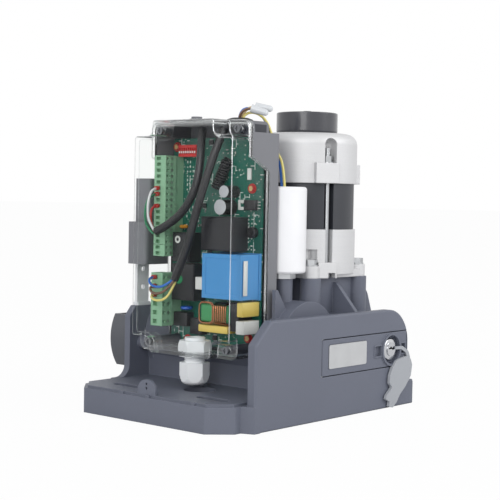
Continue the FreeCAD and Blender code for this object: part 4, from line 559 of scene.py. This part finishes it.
class GATE_OT_box(PieceOperator, bpy.types.Operator):
    """Control box: grey back, clear cover, seal, screws and gland"""
    bl_idname = "gate.box"
    bl_label = "Control box"

    def execute(self, context):
        housing = context.scene.gate_housing
        control = context.scene.gate_control
        # The grey back gets painted shade on its inside
        grey = box_plastic_with_painted_shade("grey moulded plastic", "box_grey", housing.box_grey, housing.box_painted_shade,
                           SHADED_BOX_ROOM)
        for node in ("control_box_back", "top_boss_screw", "limit_sensor"):
            finish_node(node, grey)
        finish_node("clear_cover", clear_shell("clear polycarbonate", "clear_plastic", control.cover))
        black = rubber("black rubber", "black_rubber", srgb(34, 34, 36))
        for node in ("cover_gasket", "top_grommet", "cable_gland_seal", "output_oil_seal"):
            finish_node(node, black)
        nylon = moulded("pale nylon", "white_plastic", srgb(246, 248, 250), 0.4)
        for node in ("cable_gland_body", "cable_gland_locknut", "cable_gland_nut"):
            finish_node(node, nylon)
        finish_node("wire_connectors", moulded("closed end caps", "white_plastic", srgb(208, 211, 214), 0.3))
        return {"FINISHED"}


class GATE_OT_metals(PieceOperator, bpy.types.Operator):
    """Screws, rods, shafts, gears and bearings"""
    bl_idname = "gate.metals"
    bl_label = "Steel parts"

    def execute(self, context):
        zinc = metal("zinc plated steel", "zinc_steel", srgb(190, 192, 194), 0.34)
        for node in ("gearbox_screws", "pinion_bolt", "tie_rods", "tie_rod_nuts", "flange_bolts",
                     "capacitor_nut", "bracket_screws", "door_hinge_pin"):
            finish_node(node, zinc)
        finish_node("cover_screws", metal("dull steel", "zinc_steel", srgb(128, 130, 134), 0.4))
        finish_node("limit_sensor_bracket",
                    moulded("galvanised sheet", "zinc_steel", srgb(228, 229, 231), 0.45))
        machined = metal("machined steel", "gear_steel", srgb(150, 152, 156), 0.28)
        for node in ("output_bearings", "output_shaft", "drive_pinion", "worm_shaft", "motor_bearings",
                     "release_rod"):
            finish_node(node, machined)
        finish_node("worm_wheel", metal("gear bronze", "bronze", srgb(196, 150, 84), 0.3))
        return {"FINISHED"}


class GATE_OT_motor(PieceOperator, bpy.types.Operator):
    """Motor: castings, stator, windings, cap and run capacitor"""
    bl_idname = "gate.motor"
    bl_label = "Motor"

    def execute(self, context):
        look = context.scene.gate_motor
        casting = cast_metal("die-cast aluminium", "cast_aluminium", look.casting)
        for node in ("lower_shield", "upper_shield", "gearbox_cover"):
            finish_node(node, casting)
        sheets = laminations("enamelled laminations", "black_lamination", look.laminations)
        for node in ("stator_core", "rotor_core"):
            finish_node(node, sheets)
        finish_node("stator_windings", metal("enamelled copper", "copper", srgb(176, 96, 52), 0.35))
        finish_node("motor_cap", moulded("black moulded cap", "black_plastic", look.cap, 0.3, coat=0.5))
        finish_node("capacitor", moulded("white can", "white_plastic", look.run_capacitor, 0.38))
        return {"FINISHED"}


class GATE_OT_board(PieceOperator, bpy.types.Operator):
    """Circuit board with its parts"""
    bl_idname = "gate.board"
    bl_label = "Circuit board"

    def execute(self, context):
        control = context.scene.gate_control
        finish_node("circuit_board", circuit_board("green circuit board", "board_green", control.board))
        green = moulded("green terminals", "terminal_green", control.terminals, 0.46, 0.06)
        for node in ("upper_terminals", "lower_terminals"):
            finish_node(node, green)
        finish_node("dip_switch", banded("red switch block", "switch_red",
                                         [srgb(232, 232, 228), srgb(196, 36, 34)], "X", [-52.75]))
        finish_node("board_transformer",
                    moulded("blue moulding", "transformer_blue", control.transformer, 0.4))
        finish_node("relays", moulded("black relay", "black_plastic", srgb(38, 38, 42), 0.3))
        finish_node("electrolytic_capacitors", banded("aluminium can", "black_plastic",
                                                      [srgb(190, 192, 196), srgb(30, 30, 32)], "X", [-59.2]))
        finish_node("board_screws", spotted("brass screw on a red washer", "bronze", srgb(208, 180, 124),
                                            srgb(186, 44, 40), BOARD_SCREWS, BOARD_SCREW_RADIUS))
        finish_node("wire_ferrules", moulded("red ferrules", "switch_red", srgb(190, 46, 40), 0.4))
        return {"FINISHED"}


class GATE_OT_board_parts(PieceOperator, bpy.types.Operator):
    """Choke, film capacitors, coil, transistor and the small parts of the board"""
    bl_idname = "gate.board_parts"
    bl_label = "Board parts"

    def execute(self, context):
        self.black = moulded("black epoxy", "black_plastic", srgb(34, 34, 37), 0.36)
        self.white = moulded("white ceramic", "white_plastic", srgb(226, 226, 222), 0.5)
        self.tinned = metal("tinned metal", "zinc_steel", srgb(186, 188, 190), 0.32)
        self.choke()
        self.large_parts()
        self.air_coil()
        self.terminal_metal()
        self.marks()
        self.chip_parts(context.scene.gate_control.small_parts)
        return {"FINISHED"}

    def choke(self):
        """Green core with its copper winding in rounded turns."""
        core = bmesh.new()
        block(core, (-60.4, -28.4, 78.6), (BOARD_X, 2.6, 94.4), 2.4, 3)
        piece("choke_core", core, "housing", moulded("green core", "board_green", srgb(64, 148, 92), 0.4),
              ["noise_choke"])
        turns = bmesh.new()
        for step in range(7):
            self.wire_loop(turns, "Y", (-53.0, -27.2 + 2.2 * step, 86.5), (8.4, 8.6), 0.62)
        self.wire_loop(turns, "X", (-60.6, -4.4, 86.5), (7.6, 8.6), 0.6)
        self.wire_loop(turns, "X", (-59.6, -4.4, 86.5), (8.0, 9.0), 0.6)
        piece("choke_turns", turns, "housing", metal("copper wire", "copper", srgb(196, 134, 100), 0.25))

    def wire_loop(self, shape, axis, centre, half, wire):
        """One closed turn of wire, wider or taller by half, its corners rounded."""
        bend = 4.0
        before = set(shape.verts)
        ring = wire_section(shape, wire, bend, False)
        edges = list({edge for vert in ring for edge in vert.link_edges})
        bmesh.ops.spin(shape, geom=ring + edges, cent=(0, 0, 0), axis=(0, 0, 1), dvec=(0, 0, 0),
                       angle=2 * math.pi, steps=24, use_merge=True, use_normal_flip=False,
                       use_duplicate=False)
        made = [vert for vert in shape.verts if vert not in before]
        for vert in made:
            for along in (0, 1):
                if abs(vert.co[along]) > 0.01:
                    vert.co[along] += math.copysign(half[along] - bend, vert.co[along])
        turn = Matrix.Rotation(QUARTER, 3, "X")
        if axis == "X":
            turn = Matrix.Rotation(QUARTER, 3, "Z") @ turn
        bmesh.ops.rotate(shape, verts=made, matrix=turn)
        bmesh.ops.translate(shape, verts=made, vec=centre)

    def boxes(self, shape, parts):
        """Boxes on the board, each from its front x, low and high y, low and high z, and its bevel."""
        for front, low_y, high_y, low_z, high_z, bevel in parts:
            block(shape, (front, low_y, low_z), (BOARD_X, high_y, high_z), bevel)

    def large_parts(self):
        """Film capacitors, ceramic blocks, black parts and the transistor with its tab."""
        film = bmesh.new()
        self.boxes(film, [(-58.0, -26.4, 6.7, 69.8, 76.0, 0.9), (-66.0, -50.0, -43.5, 86.0, 98.0, 0.9)])
        piece("film_capacitors", film, "housing",
              moulded("yellow film capacitor", "cap_yellow", srgb(232, 204, 104), 0.35),
              ["small_board_parts"])
        ceramic = bmesh.new()
        self.boxes(ceramic, [(-64.0, -50.0, -41.0, 71.5, 82.5, 0.6), (-60.0, -0.6, 9.0, 105.4, 116.0, 0.4),
                             (BOARD_X - 2.0, -39.3, -35.4, 198.5, 208.1, 0.3)])
        piece("ceramic_parts", ceramic, "housing", self.white)
        body = bmesh.new()
        block(body, (-50.4, -47.0, 173.3), (BOARD_X - 0.9, -35.4, 181.8), 0.4)
        self.boxes(body, [(-62.0, -42.0, -33.0, 73.1, 97.0, 0.6), (-54.0, 24.0, 46.0, 72.0, 84.0, 0.8),
                          (-52.0, 8.0, 22.0, 66.0, 80.0, 0.8)])
        turned(body, [(0, 0), (4.6, 0), (4.6, 4.2), (4.0, 4.8), (1.1, 4.8), (1.1, 3.6), (0, 3.6)],
               (BOARD_X, -42.5, 154.9), (-1, 0, 0))
        piece("black_parts", body, "housing", self.black)
        tab = bmesh.new()
        front = BOARD_X - 1.3
        self.boxes(tab, [(front, -46.6, -32.0, 173.3, 181.8, 0.3), (front, -32.5, -25.3, 173.3, 176.0, 0.3),
                         (front, -32.5, -25.3, 179.1, 181.8, 0.3), (front, -27.6, -25.3, 175.9, 179.2, 0.3)])
        for step in (175.0, 177.55, 180.1):
            block(tab, (BOARD_X - 1.6, -49.6, step - 0.4), (BOARD_X - 0.9, -46.8, step + 0.4))
        piece("transistor_tab", tab, "housing", moulded("tinned tab", "zinc_steel", srgb(222, 223, 220), 0.3))

    def air_coil(self):
        """Close turns of black enamelled wire on a slant."""
        shape = bmesh.new()
        start = Vector((-50.0, -4.5, 191.5))
        end = Vector((-50.0, -16.5, 215.0))
        along = (end - start).normalized()
        wire = wire_section(shape, 0.95, 4.0, True)
        geometry = wire + list({edge for vert in wire for edge in vert.link_edges}) + list(shape.faces)
        turns = 12
        steps = turns * 16
        bmesh.ops.spin(shape, geom=geometry, cent=(0, 0, 0), axis=(0, 0, 1),
                       dvec=(0, 0, (end - start).length / steps), angle=turns * 2 * math.pi, steps=steps,
                       use_merge=False, use_normal_flip=False, use_duplicate=False)
        bmesh.ops.rotate(shape, verts=shape.verts, matrix=along.to_track_quat("Z", "X").to_matrix())
        bmesh.ops.translate(shape, verts=shape.verts, vec=start)
        piece("air_coil", shape, "housing", self.black)

    def terminal_metal(self):
        """Plated screws in the wells of both strips."""
        shape = bmesh.new()
        head = [(0, 0), (1.5, 0), (1.5, 0.5), (0, 0.5)]
        for front, top, pitch, count in ((-68.0, 218.6, 5.08, 17), (-70.0, 118.0, 7.62, 6)):
            for step in range(count):
                turned(shape, head, (front + 7.5, 38.5, top - pitch * (step + 0.5)), (0, -1, 0), 12)
        piece("terminal_screws", shape, "housing", self.tinned)

    def mark(self, shape, y, z, half, tall):
        """A white bar on the board, standing on z, with half its width to each side of y."""
        block(shape, (BOARD_X - 0.35, y - half, z), (BOARD_X, y + half, z + tall))

    def marks(self):
        """White print and labels, the green tag, and the lacquered disc and beads beside them."""
        strip = bmesh.new()
        block(strip, (-67.4, -51.55, 103.6), (-62.2, -51.28, 132.2), 0.12)
        ring = [(1.5, 0), (3.2, 0), (3.2, 0.35), (1.5, 0.35), (1.5, 0)]
        turned(strip, ring, (-60.0, 30.2, 147.0), (-1, 0, 0))
        draw = random.Random(5)
        for column in (34.4, 31.2, 27.6, 24.2, 20.6):
            for row in range(15):
                tall = draw.choice((1.0, 1.4, 2.2))
                if draw.random() < 0.72:
                    self.mark(strip, column, 158 + 3.9 * row, 0.45, tall)
        for column in (-33.5, -36.5, -40.0, -43.5):
            for row in range(10):
                if draw.random() < 0.6:
                    self.mark(strip, column, 140 + 3.1 * row, 0.5, 1.2)
        piece("white_marks", strip, "housing", self.white)
        oval = bmesh.new()
        turned(oval, [(0, 0), (3.1, 0), (3.3, 0.2), (0, 0.3)], (0, 0, 0), (-1, 0, 0), 32)
        bmesh.ops.scale(oval, vec=(1, 1.25, 1), verts=oval.verts)
        bmesh.ops.rotate(oval, verts=oval.verts, matrix=Matrix.Rotation(math.radians(-35), 3, "X"))
        bmesh.ops.translate(oval, verts=oval.verts, vec=(-60.05, 27.5, 112.5))
        piece("green_tag", oval, "housing", moulded("green tag", "board_green", srgb(40, 150, 92), 0.4))
        disc = bmesh.new()
        turned(disc, [(0, -1.6), (4.2, -1.5), (5.2, -0.8), (5.4, 0), (5.2, 0.8), (4.2, 1.5), (0, 1.6)],
               (-50.6, 27.4, 88.0), (0, 0, 1), 32)
        piece("disc_capacitor", disc, "housing",
              moulded("blue lacquer", "transformer_blue", srgb(36, 92, 190), 0.25))
        beads = bmesh.new()
        drop = [(0, -2.4), (1.2, -2.0), (1.7, -0.6), (1.7, 0.8), (1.0, 2.2), (0, 2.5)]
        for y, z in ((36.4, 157.6), (32.2, 158.0)):
            turned(beads, drop, (-48.5, y, z), (0, 1, 0.1), 16)
        piece("bead_capacitors", beads, "housing",
              moulded("orange lacquer", "cap_yellow", srgb(222, 150, 42), 0.3))

    def pins(self, shape, y, z, wide):
        """Four pins along each side of a chip that stands wide in z."""
        for pin in range(4):
            for side in (-1, 1):
                middle = y + (pin - 1.5) * 1.0
                edge = z + side * (wide / 2 + 0.45)
                block(shape, (BOARD_X - 0.4, middle - 0.2, edge - 0.5),
                      (BOARD_X - 0.02, middle + 0.2, edge + 0.5))

    def chip_parts(self, count):
        """Small soldered parts on the free board, laid out from a seeded draw."""
        taken = list(TAKEN)
        draw = random.Random(11)
        bodies = bmesh.new()
        ends = bmesh.new()
        chips = bmesh.new()
        for _ in range(count):
            long, wide, tall = draw.choice(CHIP_SIZES)
            if draw.random() < 0.5:
                long, wide = wide, long
            y, z = (draw.uniform(*reach) for reach in FREE_BOARD)
            if any(y0 - CHIP_GAP < y < y1 + CHIP_GAP and z0 - CHIP_GAP < z < z1 + CHIP_GAP
                   for y0, y1, z0, z1 in taken):
                continue
            taken.append((y - long / 2, y + long / 2, z - wide / 2, z + wide / 2))
            low = (BOARD_X - tall, y - long / 2, z - wide / 2)
            high = (BOARD_X - 0.02, y + long / 2, z + wide / 2)
            if tall > 1:
                block(chips, low, high, 0.25, 1)
                self.pins(ends, y, z, wide)
                continue
            block(bodies, low, high, 0.08, 1)
            along, across = (1, 2) if long > wide else (2, 1)
            for side in (low[along], high[along]):
                start = [low[0] - 0.03, 0, 0]
                stop = [high[0], 0, 0]
                start[along], stop[along] = side - 0.3, side + 0.3
                start[across], stop[across] = low[across] - 0.05, high[across] + 0.05
                block(ends, start, stop)
        piece("chip_bodies", bodies, "housing",
              moulded("grey chip parts", "black_plastic", srgb(84, 72, 64), 0.5))
        piece("chip_ends", ends, "housing", self.tinned)
        piece("chips", chips, "housing", self.black)


class GATE_OT_lock(PieceOperator, bpy.types.Operator):
    """Label plate, lock and its soft cap"""
    bl_idname = "gate.lock"
    bl_label = "Lock and plate"

    def execute(self, context):
        finish_node("label_plate", metal("brushed plate", "brushed_plate", srgb(208, 209, 210), 0.32,
                                         (0.04, 1, 1)))
        chrome = metal("chrome", "chrome", srgb(206, 207, 210), 0.12, variation=0.03)
        for node in ("lock_barrel", "lock_plug"):
            finish_node(node, chrome)
        soft = rubber("grey rubber", "grey_rubber", srgb(158, 161, 166), 0.55)
        x, y, z = soft.axes()
        collar = in_circle(x, z, LOCK_AXIS, COLLAR_RADIUS) * (y > COLLAR_FRONT_Y * MM)
        soft.set(Base_Color=soft.mix(collar, srgb(162, 165, 170), context.scene.gate_housing.paint))
        finish_node("lock_cap", soft)
        return {"FINISHED"}


class GATE_OT_cables(PieceOperator, bpy.types.Operator):
    """The two black cables and the coloured wires in the box and on top of it"""
    bl_idname = "gate.cables"
    bl_label = "Cables"

    def execute(self, context):
        look = context.scene.gate_cables
        jacket = rubber("black cable jacket", "black_rubber", srgb(34, 34, 37), 0.34)
        cable("control_cable_run", CABLE_A, look.cable_radius, jacket, "housing", "control_cable")
        cable("supply_cable_run", CABLE_B, look.cable_radius, jacket, "housing", "supply_cable")
        for colour, route in WIRES.items():
            insulation = moulded(f"{colour} insulation", "wire_mixed", WIRE_COLOURS[colour], 0.35)
            cable(f"wire_{colour}", route, look.wire_radius, insulation, "housing", "cable_wires")
        for colour, route in TOP_WIRES.items():
            insulation = moulded(f"{colour} top insulation", "wire_mixed", WIRE_COLOURS[colour], 0.32)
            cable(f"top_wire_{colour}", route, look.wire_radius, insulation, "housing", "top_wires")
        return {"FINISHED"}


class GATE_OT_stage(PieceOperator, bpy.types.Operator):
    """Floor, light and camera"""
    bl_idname = "gate.stage"
    bl_label = "Stage"

    def execute(self, context):
        look = context.scene.gate_stage
        self.floor(look)
        self.surround(context, look)
        self.lamp(context, "key light", look.key, 1.5, (0.75, -1.9, 1.25))
        self.lamp(context, "fill light", look.fill, 1.6, (-2.0, -0.9, 1.0))
        self.camera(context, look)
        context.scene.view_settings.view_transform = "Standard"
        return {"FINISHED"}

    def floor(self, look):
        """A wide plane that the camera sees nearly white and that is lit as a matt floor."""
        shape = bmesh.new()
        bmesh.ops.create_grid(shape, x_segments=1, y_segments=1, size=30)
        mesh = bpy.data.meshes.new("floor")
        shape.to_mesh(mesh)
        shape.free()
        made = bpy.data.objects.new("floor", mesh)
        bpy.context.scene.collection.objects.link(made)
        paint = Paint("pale floor", None)
        paint.set(Base_Color=look.floor, Roughness=0.9, Specular_IOR_Level=0.1)
        light = paint.add("ShaderNodeEmission", inputs={"Color": (1, 1, 1, 1), "Strength": 1.0})
        rays = paint.add("ShaderNodeLightPath", output="Is Camera Ray")
        paint.surface(paint.add("ShaderNodeMixShader", inputs={0: rays * 0.96, 1: paint.gloss, 2: light}))
        mesh.materials.append(paint.material)

    def surround(self, context, look):
        """White to the camera and in reflections, with an even light of its own strength."""
        world = bpy.data.worlds.new("studio")
        world.use_nodes = True
        nodes = Nodes(world.node_tree, "ShaderNodeOutputWorld")
        camera, glossy, through = (nodes.add("ShaderNodeLightPath", output=ray) for ray in
                                   ("Is Camera Ray", "Is Glossy Ray", "Is Transmission Ray"))
        seen = camera.at_least(glossy).at_least(through)
        white = nodes.add("ShaderNodeBackground", inputs={"Color": (1, 1, 1, 1)})
        even = nodes.add("ShaderNodeBackground", inputs={"Color": (0.97, 0.98, 1, 1), "Strength": look.sky})
        nodes.surface(nodes.add("ShaderNodeMixShader", inputs={0: seen, 1: even, 2: white}))
        context.scene.world = world

    def lamp(self, context, name, power, size, place):
        """A round lamp that points at the middle of the motor."""
        light = bpy.data.lights.new(name, "AREA")
        light.shape = "DISK"
        light.size = size
        light.energy = power
        lamp = bpy.data.objects.new(name, light)
        lamp.location = place
        toward = Vector((0, 0, 0.12)) - Vector(place)
        lamp.rotation_euler = toward.to_track_quat("-Z", "Y").to_euler()
        context.scene.collection.objects.link(lamp)

    def camera(self, context, look):
        """The photo's camera, as solved from the corners of the base."""
        data = bpy.data.cameras.new("camera")
        data.lens = look.lens
        data.sensor_width = 36
        made = bpy.data.objects.new("camera", data)
        forward = Vector((0.75754, 0.65154, -0.04037)).normalized()
        right = Vector((0.6520, -0.7580, 0.0185))
        right = (right - forward * right.dot(forward)).normalized()
        up = right.cross(forward)
        turn = Matrix((right, up, -forward)).transposed()
        made.matrix_world = Matrix.Translation((-0.82694, -0.71124, 0.18201)) @ turn.to_4x4()
        context.scene.collection.objects.link(made)
        context.scene.camera = made


class GATE_PT_sidebar(bpy.types.Panel):
    """Lists the pieces of the gate motor"""
    bl_idname = "GATE_PT_sidebar"
    bl_label = "Gate motor"
    bl_space_type = "VIEW_3D"
    bl_region_type = "UI"
    bl_category = "Gate motor"

    def draw(self, context):
        for key in LOOKS:
            column = self.layout.column(align=True)
            look = getattr(context.scene, key)
            for name in look.bl_rna.properties.keys():
                if name not in ("rna_type", "name"):
                    column.prop(look, name)
        for operator in OPERATORS:
            self.layout.operator(operator.bl_idname)


OPERATORS = (GATE_OT_stage, GATE_OT_cables, GATE_OT_housing, GATE_OT_box, GATE_OT_metals, GATE_OT_motor,
             GATE_OT_board, GATE_OT_board_parts, GATE_OT_lock)
CLASSES = (*LOOKS.values(), *OPERATORS, GATE_PT_sidebar)


def register():
    for made in CLASSES:
        bpy.utils.register_class(made)
    for key, look in LOOKS.items():
        setattr(bpy.types.Scene, key, PointerProperty(type=look))


def unregister():
    for key in LOOKS:
        delattr(bpy.types.Scene, key)
    for made in reversed(CLASSES):
        bpy.utils.unregister_class(made)


def main():
    register()
    for operator in OPERATORS:
        group, name = operator.bl_idname.split(".")
        getattr(getattr(bpy.ops, group), name)()


if __name__ == "__main__":
    main()
